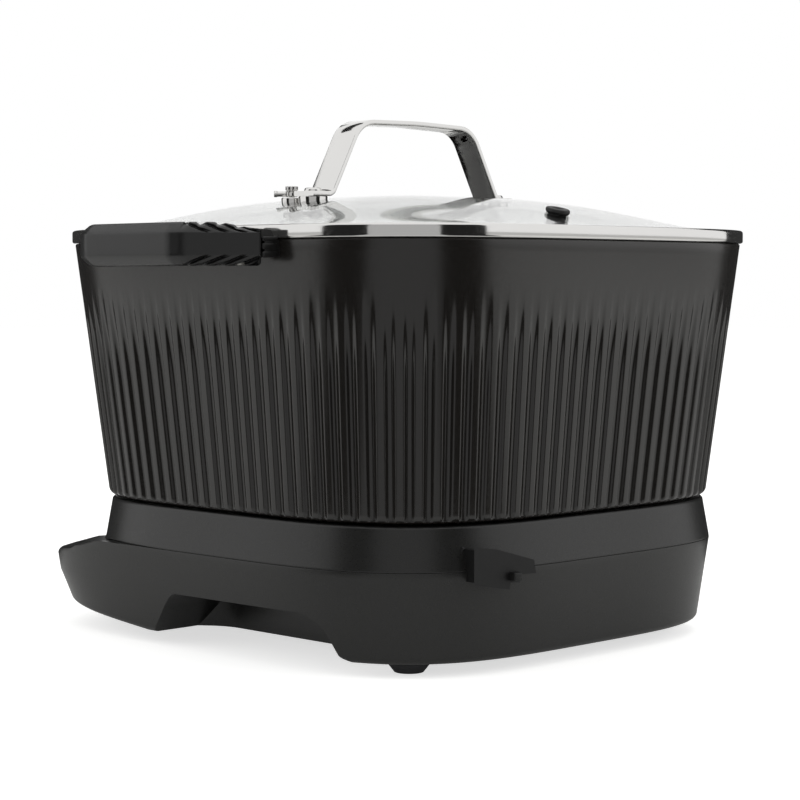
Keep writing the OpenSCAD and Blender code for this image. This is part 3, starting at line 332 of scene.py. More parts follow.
def block(low, high, r=0.6):
    """Box with rounded upright and level edges."""
    x0, y0, z0 = low
    x1, y1, z1 = high
    return slab(rounded(rectangle(x0, y0, x1, y1), r, 4), z0, z1, r)


def carve(obj, cutters, how="DIFFERENCE"):
    """Cuts the cutters out of obj, keeps the result as its mesh and removes them."""
    for cutter in cutters:
        m = obj.modifiers.new("cut", "BOOLEAN")
        m.operation, m.solver, m.object = how, "EXACT", cutter
    bpy.context.view_layer.update()
    result = obj.evaluated_get(bpy.context.evaluated_depsgraph_get())
    mesh = bpy.data.meshes.new_from_object(result)
    obj.modifiers.clear()
    obj.data = mesh
    mesh.name = obj.name
    for cutter in cutters:
        bpy.data.objects.remove(cutter)
    mesh.shade_smooth()
    mesh.set_sharp_from_angle(angle=math.radians(SHARP))
    return obj


def place(obj, body, slot, *replaced, finish=None):
    """Gives a piece its finish, named by finish or else by slot, puts it on the body it rides on and hides the CAD
    nodes it stands for.
    """
    obj.data.materials.clear()
    obj.data.materials.append(FINISH[finish or slot])
    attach(obj, body)
    if replaced:
        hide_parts(*replaced)


# ---- materials
def colour(code):
    """Linear colour of an sRGB hex code: c/12.92 below 0.04045, else ((c + 0.055)/1.055)^2.4."""
    c = np.array([int(code[i:i + 2], 16) / 255 for i in (1, 3, 5)])
    return (*np.where(c <= 0.04045, c / 12.92, ((c + 0.055) / 1.055) ** 2.4), 1.0)


def add(tree, kind, settings=None, **links):
    """Adds a shader node; settings set its properties, links its inputs by socket or by value."""
    made = tree.nodes.new(kind)
    for key, value in (settings or {}).items():
        setattr(made, key, value)
    for key, value in links.items():
        socket = made.inputs[int(key[1:])] if key[1:].isdigit() else made.inputs[key.replace("_", " ")]
        if isinstance(value, bpy.types.NodeSocket):
            tree.links.new(value, socket)
        else:
            socket.default_value = value
    return made


def surface(name, base, rough, spread=0.06, tint=0.08, grain_mm=0.6, bump_mm=0.0, stretch=(1, 1, 1),
            cloud_mm=30.0, **settings):
    """Finish with clouds of cloud_mm in its tone, uneven roughness and a grain of grain_mm, bump_mm high."""
    material = bpy.data.materials.new(name)
    material.use_nodes = True
    tree = material.node_tree
    shader = tree.nodes["Principled BSDF"]
    for key, value in settings.items():
        shader.inputs[key.replace("_", " ")].default_value = value
    place_at = add(tree, "ShaderNodeTexCoord")
    scaled = add(tree, "ShaderNodeMapping", None, Vector=place_at.outputs["Object"], Scale=stretch)
    cloud = add(tree, "ShaderNodeTexNoise", None, Vector=place_at.outputs["Object"], Scale=1000 / cloud_mm,
                Detail=3.0)
    grain = add(tree, "ShaderNodeTexNoise", None, Vector=scaled.outputs["Vector"], Scale=1000 / grain_mm,
                Detail=2.0)
    dark = [v * (1 - tint) for v in base[:3]] + [1]
    light = [min(1, v * (1 + tint)) for v in base[:3]] + [1]
    tone = add(tree, "ShaderNodeMix", {"data_type": "RGBA"})
    tree.links.new(cloud.outputs["Fac"], tone.inputs[0])
    tone.inputs[6].default_value, tone.inputs[7].default_value = dark, light
    tree.links.new(tone.outputs[2], shader.inputs["Base Color"])
    wear = add(tree, "ShaderNodeMapRange", None, Value=grain.outputs["Fac"], From_Min=0.3, From_Max=0.7,
               To_Min=max(0.02, rough - spread), To_Max=min(1.0, rough + spread))
    tree.links.new(wear.outputs["Result"], shader.inputs["Roughness"])
    if bump_mm:
        bump = add(tree, "ShaderNodeBump", None, Height=grain.outputs["Fac"], Distance=bump_mm * 0.001,
                   Strength=1.0)
        tree.links.new(bump.outputs["Normal"], shader.inputs["Normal"])
    return material


def clear_sheet(name, tint, rough):
    """Thin clear glass: light passes straight through, weakly tinted; a share 0.04 + 0.96 f^5 is mirrored,
    f being nought face-on and one edge-on."""
    material = bpy.data.materials.new(name)
    material.use_nodes = True
    tree = material.node_tree
    tree.nodes.remove(tree.nodes["Principled BSDF"])
    place_at = add(tree, "ShaderNodeTexCoord")
    cloud = add(tree, "ShaderNodeTexNoise", None, Vector=place_at.outputs["Object"], Scale=14.0, Detail=2.0)
    uneven = add(tree, "ShaderNodeMapRange", None, Value=cloud.outputs["Fac"], To_Min=rough * 0.5,
                 To_Max=rough * 1.5)
    mirror = add(tree, "ShaderNodeBsdfGlossy", None, Color=(1, 1, 1, 1), Roughness=uneven.outputs["Result"])
    clear = add(tree, "ShaderNodeBsdfTransparent", None, Color=tint)
    edge_on = add(tree, "ShaderNodeLayerWeight", None, Blend=0.5)
    power = add(tree, "ShaderNodeMath", {"operation": "POWER"}, i0=edge_on.outputs["Facing"], i1=5.0)
    share = add(tree, "ShaderNodeMapRange", None, Value=power.outputs[0], To_Min=0.04, To_Max=1.0)
    both = add(tree, "ShaderNodeMixShader", None, i0=share.outputs[0], i1=clear.outputs[0], i2=mirror.outputs[0])
    tree.links.new(both.outputs[0], tree.nodes["Material Output"].inputs["Surface"])
    return material


FINISH = {
    # spark-eroded moulded plastic: a fine dull grain that takes a wide soft sheen
    "base_plastic": surface("moulded_satin_plastic", colour("#191918"), 0.32, bump_mm=0.005, grain_mm=0.5),
    # natural rubber with talc: flat, slightly paler than the plastic
    "foot_rubber": surface("moulded_dull_rubber", colour("#3b3b3d"), 0.82, bump_mm=0.02, grain_mm=0.8),
    # zinc-plated screws and brackets: greyish metal with a blurred reflection
    "zinc_steel": surface("zinc_plated_steel", colour("#a9a8a2"), 0.38, Metallic=1.0),
    # hard-coated acrylic sheet: black with a sharp clear reflection
    "panel_gloss": surface("hard_coated_acrylic", colour("#0d0d0e"), 0.1, spread=0.03, cloud_mm=60,
                           Coat_Weight=0.3),
    # smoked acrylic pane: darker and glassier than the panel round it
    "display_glass": surface("smoked_window_acrylic", colour("#050607"), 0.06, spread=0.02, cloud_mm=50),
    # undyed moulded plastic inside: pale, plain
    "pale_plastic": surface("undyed_moulded_plastic", colour("#d8d6cd"), 0.5, bump_mm=0.01),
    # glass laminate under solder mask: mottled green, half bright
    "board_green": surface("solder_masked_laminate", colour("#245a38"), 0.34, grain_mm=1.2, tint=0.2, cloud_mm=4),
    # moulded casing: even blue with a soft shine
    "relay_blue": surface("moulded_glossy_casing", colour("#20406a"), 0.28),
    # stacked sheets under varnish: brownish with fine level lines
    "core_steel": surface("varnished_core_steel", colour("#7d6a35"), 0.5, stretch=(1, 1, 12), grain_mm=2),
    # braided glass fibre over wire: cream, with a weave of 0.8 mm
    "sleeve_cream": surface("braided_glass_fibre", colour("#cdc3a6"), 0.85, bump_mm=0.15, grain_mm=0.8, tint=0.15),
    # face turned in a lathe after casting: bright with a slight blur
    "cast_aluminium": surface("turned_cast_aluminium", colour("#b9b8b4"), 0.34, grain_mm=1.0, Metallic=1.0),
    # steel tube that has glowed: dark, blotched, nearly dull
    "element_steel": surface("oxidised_tube_steel", colour("#4a4744"), 0.55, Metallic=0.6, tint=0.25, cloud_mm=9),
    # rolled sheet: silvery, its reflections drawn out along the rolling lines
    "bright_aluminium": surface("bright_rolled_aluminium", colour("#d2d2cf"), 0.22, Metallic=1.0,
                                stretch=(1, 12, 1)),
    # drawn wire: plain bright metal
    "spring_steel": surface("drawn_spring_steel", colour("#b5b5b3"), 0.3, Metallic=1.0),
    # metallic lacquer on plastic: silver flakes under a satin clear coat
    "knob_silver": surface("silver_lacquered_plastic", colour("#a7a7a4"), 0.34, Metallic=0.85, tint=0.05),
    # dyed moulded plastic with a fine grain: mid grey, dull
    "button_grey": surface("moulded_grey_plastic", colour("#9b9b99"), 0.4, bump_mm=0.008),
    # sprayed and fired ceramic coat on aluminium: warm black, a soft orange-peel of 1.5 mm, satin
    "pot_coating": surface("fired_ceramic_coat", colour("#191715"), 0.22, spread=0.03, grain_mm=1.5, bump_mm=0.005,
                           cloud_mm=45, Specular_IOR_Level=0.6),
    # moulded phenolic: near black, with a broad soft sheen
    "handle_black": surface("moulded_phenolic", colour("#151515"), 0.34, bump_mm=0.006, grain_mm=0.7),
    # moulded glass-filled nylon of the cord socket: drier and darker than the shell round it
    "inlet_black": surface("moulded_filled_nylon", colour("#131313"), 0.48, bump_mm=0.006, grain_mm=0.7,
                           Specular_IOR_Level=0.3),
    # pressed and tempered sheet: clear, mirroring only where it is seen edge-on
    "lid_glass": clear_sheet("tempered_sheet_glass", colour("#f9faf9"), 0.04),
    # rolled and mirror-polished stainless strip: reflections barely drawn out along the strip
    "bright_steel": surface("mirror_polished_stainless", colour("#dedddb"), 0.09, spread=0.03, tint=0.02,
                            grain_mm=2.0, Metallic=1.0),
    # moulded silicone rubber: black and dull
    "vent_black": surface("moulded_silicone", colour("#191919"), 0.5, grain_mm=0.8),
    # screen-printed ink: flat and off-white
    "print_white": surface("screen_printed_ink", colour("#c9c9c7"), 0.6, grain_mm=0.3),
}
for entry in frame["record"]["subparts"]:
    node = nodes[entry["node"]]
    node.data.materials.clear()
    node.data.materials.append(FINISH[entry["material_slot"]])

# ---- base, lower shell
TIP_Z = float(CREASE_Z - PANEL_DROP + (PANEL_FRONT - NOSE_REACH) * math.tan(PANEL_TILT)) - 1.2


def low_half(z):
    """Half width of the lower shell at the level z, growing evenly from the bottom rounding to the seam."""
    return BASE_LOW_HALF + (CREASE_HALF - BASE_LOW_HALF) * np.maximum(0, z - BASE_Z - BOTTOM_ROUND) / (
        CREASE_Z - BASE_Z - BOTTOM_ROUND)


def low_ring(t, z, inset):
    """Lower shell at the level z: half width and reach grow upward, and the nose's bottom rises with -y."""
    half = low_half(z)
    reach = min(NOSE_REACH, NOSE_LOW_REACH + (NOSE_REACH - NOSE_LOW_REACH) * (z - BASE_Z) / (TIP_Z - BASE_Z))
    p = nose_outline(t, half - inset, reach - inset)
    share = min(1, max(0, (TIP_Z - z) / (TIP_Z - BASE_Z)))
    lift = NOSE_RISE * np.maximum(0, -p[:, 1] - RISE_START) / RISE_RUN * share
    return lifted(p, z + lift)


def edge_dip(y):
    """How far the nose's side edge lies under the seam's line: in over y -84 to -108, mostly out by -130."""
    return 4.0 * smooth(-y, 84, 108) * (1 - 0.75 * smooth(-y, 112, 130))


def lower_rows():
    """Bottom rounding, wall to under the tip, wall to the seam, rounded seam edge, then the top drawn inward."""
    t = even(lambda a: nose_outline(a, 125, 162), 420)
    rows = [low_ring(t, BASE_Z, BOTTOM_ROUND + d) for d in (70, 30, 4)]
    for a in np.radians(np.linspace(0, 90, 7)):
        rows.append(low_ring(t, BASE_Z + BOTTOM_ROUND * (1 - math.cos(a)), BOTTOM_ROUND * (1 - math.sin(a))))
    rows += [low_ring(t, z, 0) for z in np.linspace(BASE_Z + BOTTOM_ROUND, TIP_Z - TIP_ROUND, 9)[1:]]
    top = low_ring(t, CREASE_Z, 0)[:, :2]
    start = rows[-1]
    r = 0.2 + 1.3 * smooth(-top[:, 1], 100, 124)
    dip = edge_dip(top[:, 1])
    z_top = crease(top[:, 1]) - dip
    z0 = start[:, 2]
    for q in np.linspace(0, 1, 8)[1:]:
        xy = start[:, :2] + (top - start[:, :2]) * q
        z = z0 + (z_top - r - z0) * q
        half = low_half(z)
        x = top[:, 0] * half / CREASE_HALF
        y = np.where(top[:, 1] > 0, top[:, 1] * half / CREASE_HALF, xy[:, 1])
        rows.append(np.column_stack([x, y, z]))
    last = rows[-1]
    out = outward(last[:, :2])
    for a in np.radians(np.linspace(0, 90, 6)[1:]):
        xy = last[:, :2] - out * (r * (1 - math.cos(a)))[:, None]
        rows.append(lifted(xy, crease(xy[:, 1]) - dip - r * (1 - math.sin(a))))
    for share, left in ((0.96, 0.6), (0.9, 0.25), (0.8, 0), (0.6, 0), (0.3, 0)):
        xy = last[:, :2] * share
        rows.append(lifted(xy, crease(xy[:, 1]) - dip * left))
    return np.array(rows)


def side_prism(view, x0, x1):
    """Solid whose side view is the polygon (y, z), between two x positions."""
    return skin([np.column_stack([np.full(len(view), x), view]) for x in (x0, x1)], "flat")


def plan_prism(plan, low, high):
    """Solid whose plan is the polygon (x, y), between two heights."""
    return skin([lifted(plan, z) for z in (low, high)], "flat")


def grip_cutter(side):
    """Finger recess: a side view with a slanted front end and a round rear one, cut to a rounded plan."""
    up = BASE_Z + GRIP_H
    view = rounded([[-GRIP_FRONT - 3, -2], [-GRIP_FRONT, BASE_Z], [-GRIP_FRONT + 11, BASE_Z + 0.69 * GRIP_H],
                    [-GRIP_FRONT + 17, up], [GRIP_BACK - 29, up + 0.3],
                    [GRIP_BACK - 19, up - 4.3], [GRIP_BACK - 14.5, up - 11], [GRIP_BACK - 10.8, BASE_Z + 2.6],
                    [GRIP_BACK - 5, BASE_Z - 0.4], [GRIP_BACK - 4, -2]],
                   [0, 3, 30, 9, 20, 14, 12, 4, 3, 0], 7)
    plan = rounded([[200, -GRIP_FRONT - 5], [GRIP_INNER + 12, -GRIP_FRONT - 5], [GRIP_INNER, -GRIP_FRONT + 12],
                    [GRIP_INNER, GRIP_BACK - 22], [GRIP_INNER + 16, GRIP_BACK - 8], [200, GRIP_BACK + 2]],
                   [0, 22, 26, 22, 26, 0], 10)
    cutter = make_mesh("recess", [side_prism(view, side * 60, side * 220)])
    limit = make_mesh("limit", [plan_prism(plan * [side, 1], -1, 60)])
    return carve(cutter, [limit], "INTERSECT")


def panel_outline(gap):
    """Panel in its own plane: y = -(f - b)(1 - u^n)^(1/n) - b(1 - u^2) in front, a rounded square behind."""
    x = np.linspace(-PANEL_HALF - gap, PANEL_HALF + gap, 81)
    half, reach = CREASE_HALF - PANEL_RIM + gap, NOSE_REACH - PANEL_RIM + gap
    u = abs(x) / half
    front = -(reach - NOSE_BOW) * (1 - u ** NOSE_POWER) ** (1 / NOSE_POWER) - NOSE_BOW * (1 - u ** 2)
    behind = CREASE_HALF + 1.6 - gap
    back = -(behind ** SQUARENESS - abs(x) ** SQUARENESS) ** (1 / SQUARENESS)
    return np.concatenate([np.stack([x, front], 1), np.stack([x, back], 1)[::-1]]) + [0, PANEL_FRONT]


def cover_cutter(grow):
    """Pocket of the bottom cover: rounded square, narrow between the finger recesses."""
    inner, far = GRIP_INNER - SHELL - 1.4 + grow, 180
    front, rear = GRIP_FRONT + SHELL + 1.4 + grow, GRIP_BACK + SHELL + 1 - grow
    tee = [[-inner, -front], [inner, -front], [inner, rear], [far, rear], [far, far], [-far, far], [-far, rear],
           [-inner, rear]]
    half = BASE_LOW_HALF - BOTTOM_ROUND - SHELL - 1 + grow
    body = make_mesh("cover", [plan_prism(square(240) * half, 0, BASE_Z + 3)])
    return carve(body, [make_mesh("tee", [plan_prism(tee, -1, 30)])], "INTERSECT")


INLET_END, INLET_SLANT, INLET_FIT = 127.8, 0.07, 0.15


def inlet_prism(tight, low, high):
    """Cord socket seen from behind: deep at one end, with an arm that tapers and a step under it. It is carried
    back from the wall to a face that slants 0.07 mm per mm of x and flares by 1.1 mm at the last."""
    section = np.array([[65.2, 39.5], [64.7, 42.5], [59.2, 42], [59.2, 45.6], [49.3, 45.2], [50.2, 49.3],
                        [72.7, 55.6], [84.5, 57.2], [84.5, 43]])
    inward = outward(section)      # the section runs clockwise, so the outward side of its walk is its inside
    rows = []
    for y, flare in ((low, 0.0), (high - 1.2, 0.0), (high - 0.35, 0.3), (high, 1.1)):
        p = section + inward * (tight - flare)
        rows.append(np.column_stack([p[:, 0], y - INLET_SLANT * np.maximum(p[:, 0] - 50, 0), p[:, 1]]))
    return skin(rows, "flat")


def window_cutter():
    """What the shells lose for the cord socket, a little tighter than the socket itself."""
    return make_mesh("window", [inlet_prism(INLET_FIT, 104, 200)])


def tilted(part):
    """A part made in the panel's own frame, put where the panel is."""
    return on_panel(part[0]), part[1]


lower = make_mesh("lower_shell", [skin(lower_rows())])
carve(lower, [
    grip_cutter(1), grip_cutter(-1), cover_cutter(GAP), window_cutter(),
    make_mesh("well", [plan_prism(superellipse(np.linspace(0, 360, 97)[:-1], 2) * (WELL_R + 9.5), 30, 90)]),
    make_mesh("seat", [tilted(plan_prism(panel_outline(GAP), -PANEL_T - GAP, 30))]),
    make_mesh("hollow", [tilted(plan_prism(panel_outline(-5), -12, 5))]),
])
place(lower, "base", "base_plastic", "lower_housing")

# ---- base, upper shell


def upper_rows():
    """Wall from the seam to the rounded top edge, top face in to the round well, then back down the inside.
    In front a fillet w (R - sqrt(R^2 - (R - d)^2)) leads out onto the panel, d being the height over it."""
    plan = square(360)
    fillet = 5.0
    flare = (CREASE_HALF - BASE_TOP_HALF) / (TOP_Z - CREASE_Z - TOP_ROUND)
    edge = CREASE_HALF * plan
    w = smooth(-edge[:, 1], 96, 116)
    low = crease(edge[:, 1] * 1.02) + 0.1 - edge_dip(edge[:, 1]) * smooth(np.abs(edge[:, 0]), 85, 115)

    def wall(z, inset=0.0):
        """Ring of the outer wall at the height z, with the fillet where it isn't inset."""
        d = np.clip(z - low, 0, fillet)
        out = w * (fillet - np.sqrt(fillet ** 2 - (fillet - d) ** 2))
        half = BASE_TOP_HALF + flare * (TOP_Z - TOP_ROUND - z) - inset + out * (inset == 0)
        return lifted(plan * half[:, None], z)

    rows = [wall(low + 1.0, 3.2), wall(low, 0.5), wall(low + 0.12, 0.12)]
    rows[1] = lifted(rows[2][:, :2] * 0.998, low)
    rows += [wall(low + d) for d in (0.5, 0.9, 1.4, 2.0, 2.8, 3.8, 5.0)]
    rows += [wall(low + fillet + (TOP_Z - TOP_ROUND - low - fillet) * q) for q in np.linspace(0, 1, 5)[1:]]
    for a in np.radians(np.linspace(0, 90, 6)[1:]):
        half = BASE_TOP_HALF - TOP_ROUND * (1 - math.cos(a))
        rows.append(lifted(plan * half, TOP_Z - TOP_ROUND * (1 - math.sin(a))))
    angle = plan / np.linalg.norm(plan, axis=1)[:, None]
    for q in (0.15, 0.5, 0.85, 1.0):
        rows.append(lifted(plan * (BASE_TOP_HALF - TOP_ROUND) * (1 - q) + angle * (WELL_R + 1.2) * q, TOP_Z))
    for r, deep in ((WELL_R + 0.35, 0.35), (WELL_R, 1.2), (WELL_R, WELL_DEEP), (WELL_R + SHELL, WELL_DEEP),
                    (WELL_R + SHELL, SHELL)):
        rows.append(lifted(angle * r, TOP_Z - deep))
    rows.append(lifted(plan * (BASE_TOP_HALF - SHELL - 1), TOP_Z - SHELL))
    return np.array(rows)


upper = make_mesh("upper_shell", [skin(upper_rows(), "ring")])
carve(upper, [window_cutter()])
place(upper, "base", "base_plastic", "upper_housing")

# ---- base, inlet, feet
inlet = make_mesh("inlet_block", [
    inlet_prism(0.0, 110, INLET_END),
    block([84.0, 108, 40.2], [86.0, 118.4, 58.2], 0.5),
    block([59.6, 118, 42.2], [64.8, 130.2, 45.9], 0.5),
])
place(inlet, "base", "base_plastic", "cord_inlet", finish="inlet_black")

foot = profile([0.01, 0.5], [4.6, 0.5], [5.2, 0], arc(6.2, 0.8, 0.8, -90, -20, 5), [9.2, 3.4],
               arc(8.9, 4.2, 0.6, -30, 0, 3), [9.5, 5.9], [0.01, 5.9])
FOOT_AT = 88
feet = make_mesh("feet", [moved(skin(turned(foot, 48)), (x, y, 0))
                          for x in (-FOOT_AT, FOOT_AT) for y in (-FOOT_AT, FOOT_AT)])
place(feet, "base", "foot_rubber", "rubber_feet")

# ---- control panel
BUTTONS = {"power_button": (-84, 2), "mode_button": (-66, -0.5), "timer_button": (-48, -1),
           "start_button": (88, 3)}
DIAL, PRINT_T, PRINT_SINK = (58, -1), 0.06, 0.02
DISPLAY_HALF, DISPLAY_DEPTH, DISPLAY_Y, BUTTON_R = 25, 9, -1, 5.5


def bore(x, y, r):
    """Round cutter through the panel."""
    a = np.radians(np.linspace(0, 360, 65)[:-1])
    return tilted(plan_prism(np.stack([x + r * np.cos(a), y + r * np.sin(a)], 1), -20, 20))


panel = make_mesh("panel_sheet", [tilted(slab(resample(panel_outline(0), 3.0), -PANEL_T, 0, 0.35))])
window = rounded(rectangle(-DISPLAY_HALF, DISPLAY_Y - DISPLAY_DEPTH, DISPLAY_HALF, DISPLAY_Y + DISPLAY_DEPTH),
                 1.2, 5)
holes = [make_mesh("hole", [bore(x, y, BUTTON_R + GAP)]) for x, y in BUTTONS.values()]
holes.append(make_mesh("hole", [bore(*DIAL, 3.3)]))
holes.append(make_mesh("hole", [tilted(plan_prism(window + GAP * outward(window), -20, 20))]))
carve(panel, holes)
place(panel, "base", "panel_gloss", "control_panel")
place(make_mesh("display_pane", [tilted(slab(window, -PANEL_T, -0.05, 0.25))]),
      "base", "display_glass", "display_window")


def bar(x, y, long, wide, angle=0.0):
    """Printed bar, turned about its middle."""
    c, s = math.cos(math.radians(angle)), math.sin(math.radians(angle))
    p = np.array(rectangle(-long, -wide, long, wide)) / 2
    p = np.stack([x + p[:, 0] * c - p[:, 1] * s, y + p[:, 0] * s + p[:, 1] * c], 1)
    return tilted(plan_prism(p, -PRINT_SINK, PRINT_T))


def ring_mark(x, y, r, wide, start, end):
    """Printed part of a ring, between two angles."""
    p = np.concatenate([arc(0, 0, 1, start, end, 25) * (r + wide), arc(0, 0, 1, start, end, 25)[::-1] * r])
    return tilted(plan_prism(p + [x, y], -PRINT_SINK, PRINT_T))


marks = [ring_mark(*DIAL, 12.4, 0.5, 235, 305)]
TICK_R, LINE = 13.6, 0.45
marks += [bar(DIAL[0] + TICK_R * math.cos(a), DIAL[1] + TICK_R * math.sin(a), 1.8, LINE, math.degrees(a))
          for a in np.radians(np.linspace(-40, 220, 11))]
marks += [bar(x, y + 8.6, 3.2, LINE) for x, y in BUTTONS.values()]
marks += [ring_mark(-84, 13.2, 1.6, LINE, 120, 420), bar(-84, 14.6, LINE, 2.2)]
place(make_mesh("panel_prints", marks), "base", "button_grey", finish="print_white")

button_profile = profile([0.01, -4.4], [6.4, -4.4], [6.4, -3.2], [5.5, -3.2], arc(5.0, 0.7, 0.5, 0, 90, 6),
                         [3.6, 1.05], [1.8, 0.92], [0.01, 0.88])
for name, (x, y) in BUTTONS.items():
    v, f = skin(turned(button_profile, 64))
    place(make_mesh(name + "_cap", [tilted((v + [x, y, 0], f))]), name, "button_grey", name)

dial_profile = profile([0.01, 0.5], [9.9, 0.5], arc(9.9, 1.1, 0.6, -90, 0, 4), [10.5, 2.2], [10.5, 4.4],
                       [10.5, 6.6], arc(9.3, 7.8, 1.2, 0, 90, 6), [8.2, 8.85], [5, 8.55], [0.01, 8.5])
v, f = skin(turned(dial_profile, 480, 60, 0.35, (1.5, 7.5)))
pointer = block([-0.6, 4.2, 8.3], [0.6, 9.0, 8.98], 0.25)
knob = make_mesh("dial_cap", [tilted((v + [*DIAL, 0], f)), tilted((pointer[0] + [*DIAL, 0], pointer[1]))])
place(knob, "dial", "knob_silver", "dial_knob")

# ---- pot
STEPS = np.array([0, 0.09, 0.15, 0.19, 0.23, 0.27, 0.31, 0.36, 0.43, 0.5, 0.57, 0.64, 0.69, 0.73, 0.77, 0.81,
                  0.85, 0.91])      # where the wall's points lie in one flute's pitch
GROOVE_FOOT, GROOVE_RUN = 1.2, 2.6


def pot_rows():
    """Wall half(z) = low + flare z / h, less a groove depth e(u) f(z) once every pitch of 8.7 mm.
    e(u) is 0 on the rib and 1 in the groove; f(z) rises from 0 over the foot's rounding, stays 1, and fades to 0
    between 60 and 104 mm."""
    f = (np.arange(FLUTES)[:, None] + STEPS[None]).ravel() / FLUTES
    t = np.linspace(0, 360, 14401)
    run = walked(superellipse(t))
    plan = superellipse(np.interp(f * run[-1], run, t))
    u = np.abs(np.tile(np.where(STEPS > 0.5, 1 - STEPS, STEPS), FLUTES))
    groove = smooth(u, 0.16, 0.42)
    foot_round = 3.6

    def ring(z, inset=0.0, depth=0.0):
        """Ring of the wall at the height z, set in all round, and deeper by depth in the grooves."""
        half = POT_LOW_HALF + (POT_RIM_HALF - POT_LOW_HALF) * z / POT_H - inset
        return lifted(plan * (half - depth * groove)[:, None], POT_Z + z)

    rows = [ring(0, 40), ring(0, 4.4)]
    for z in np.concatenate([[0.1, 0.4, 0.8, 1.2, 1.6, 1.9, 2.3, 2.8, 3.4, 4.2, 5.2, 7.5, 10, 14, 36, 58],
                            np.linspace(62, 106, 12), [112, 118]]):
        start = math.sqrt(1 - (1 - min(1, max(0, (z - GROOVE_FOOT) / GROOVE_RUN))) ** 2)
        fade = 1 - smooth(z, FLUTE_FULL, FLUTE_TOP)
        a = math.acos(1 - min(1, z / foot_round))
        rows.append(ring(z, foot_round * (1 - math.sin(a)), FLUTE_DEPTH * start * fade))
    rows += [ring(POT_H - 1 + math.sin(a), 1 - math.cos(a)) for a in np.radians((0, 30, 60, 90))]
    rows += [ring(POT_H, POT_WALL - 0.8), ring(POT_H - 0.3, POT_WALL - 0.2), ring(POT_H - 1, POT_WALL)]
    rows += [ring(z, POT_WALL + (FLUTE_DEPTH if z < 90 else 0)) for z in (104, 80, 50, 28)]
    rows += [ring(POT_FLOOR + 16 * (1 - math.sin(a)), POT_WALL + FLUTE_DEPTH + 16 * (1 - math.cos(a)))
             for a in np.radians((0, 25, 50, 70, 90))]
    rows.append(ring(POT_FLOOR, 70))
    return np.array(rows)


place(make_mesh("pot_body", [skin(pot_rows())], 40), "pot", "pot_coating", "cooking_pot")

disc = profile([0.01, 61.7], [20, 61.7], [83, 61.7], [84, 62.6], [84, 67.4], [83.4, 67.99], [0.01, 67.99])
place(make_mesh("pot_disc", [skin(turned(disc, 128))]), "pot", "cast_aluminium", "heat_spreader")

# ---- side handles
BEVEL_IN, BEVEL_H, NOTCH_IN, NOTCH_PITCH = 4.6, 4.8, 2.2, 8.0
INNER_X, KNEE_X, KNEE_Y = HANDLE_REACH - 12.5, HANDLE_REACH - 3.0, HANDLE_HALF + 8


def handle_rows():
    """Loop in plan, stacked upward: the outer edge steps in by 4.6 mm over the upper and lower 4.8 mm.
    On the slanting legs the upper step sinks toward the pot, and four leaning notches cut both steps.
    Distance along a leg: r = 0.76 (174 - x) + 0.65 (|y| - 37)."""
    plan = rounded([[ROOT_X, -HANDLE_ROOT], [KNEE_X, -KNEE_Y], [HANDLE_REACH, -HANDLE_HALF],
                    [HANDLE_REACH, HANDLE_HALF], [KNEE_X, KNEE_Y], [ROOT_X, HANDLE_ROOT],
                    [ROOT_X, HANDLE_ROOT - 15.5], [INNER_X, HANDLE_HALF - 1], [INNER_X, -HANDLE_HALF + 1],
                    [ROOT_X, -HANDLE_ROOT + 15.5]],
                   [0.8, 12, 12, 12, 12, 0.8, 1.5, 6, 6, 1.5], 8)
    plan = resample(plan, 0.4)
    out = outward(plan)
    outer = (out[:, 0] > 0.2) & ((plan[:, 0] > INNER_X + 2) | (abs(plan[:, 1]) > 44)) | (
        (out[:, 0] > 0.1) & (abs(plan[:, 1]) > KNEE_Y))
    run = 0.76 * (KNEE_X - plan[:, 0]) + 0.65 * (abs(plan[:, 1]) - KNEE_Y)
    sink = 3.0 * smooth(run, 12, 35)
    rows = []
    half = HANDLE_H / 2

    def notch(up):
        """Depth of the notches, 0 to 1, at the share up of the step: sharp on one side, easing out after."""
        lean = (run + 2.4 - 11.6 * (1 - up)) / NOTCH_PITCH
        along = np.mod(lean, 1.0)
        return np.where((lean > 0) & (lean < 4), smooth(along, 0, 0.1) * (1 - smooth(along, 0.16, 0.6)), 0)

    for q in np.concatenate([np.linspace(-1, -0.5, 22), [-0.44, 0, 0.44], np.linspace(0.5, 1, 22)]):
        z = q * half
        up = np.clip((abs(z) - (half - BEVEL_H)) / BEVEL_H, 0, 1)
        edge = 0.9 * max(0, (abs(z) - (half - 0.9)) / 0.9) ** 2
        inset = np.where(outer, up ** 1.3 * BEVEL_IN + NOTCH_IN * notch(up) * min(1, 4 * up) + edge,
                         1.4 * max(0, (abs(z) - (half - 1.4)) / 1.4) ** 2)
        level = z - sink * up * (z > 0) - (1.1 if z > 0 else -0.25) * notch(1.0) * up ** 2
        rows.append(lifted(plan - out * inset[:, None], HANDLE_Z + level))
    return np.array(rows)


def strip_cap(ring, first, turn):
    """Triangles that close a C-shaped ring. The outer chain has turn points from first on, the inner one
    the rest; whichever has run the smaller share of its length takes the next step."""
    n = len(ring)
    order = (first + np.arange(n)) % n
    outer, inner = order[:turn], order[turn:][::-1]

    def shares(chain):
        """Share of the chain's length at each of its points."""
        run = walked(ring[chain][:, :2])
        return run / run[-1]

    marks = np.concatenate([shares(outer)[1:], shares(inner)[1:] + 1e-9])
    is_outer = np.concatenate([np.ones(len(outer) - 1, bool), np.zeros(len(inner) - 1, bool)])
    is_outer = is_outer[np.argsort(marks, kind="stable")]
    i = np.concatenate([[0], np.cumsum(is_outer)])[:-1]
    j = np.concatenate([[0], np.cumsum(~is_outer)])[:-1]
    ahead = np.where(is_outer, outer[np.minimum(i + 1, len(outer) - 1)], inner[np.minimum(j + 1, len(inner) - 1)])
    return np.stack([outer[i], ahead, inner[j]], 1)


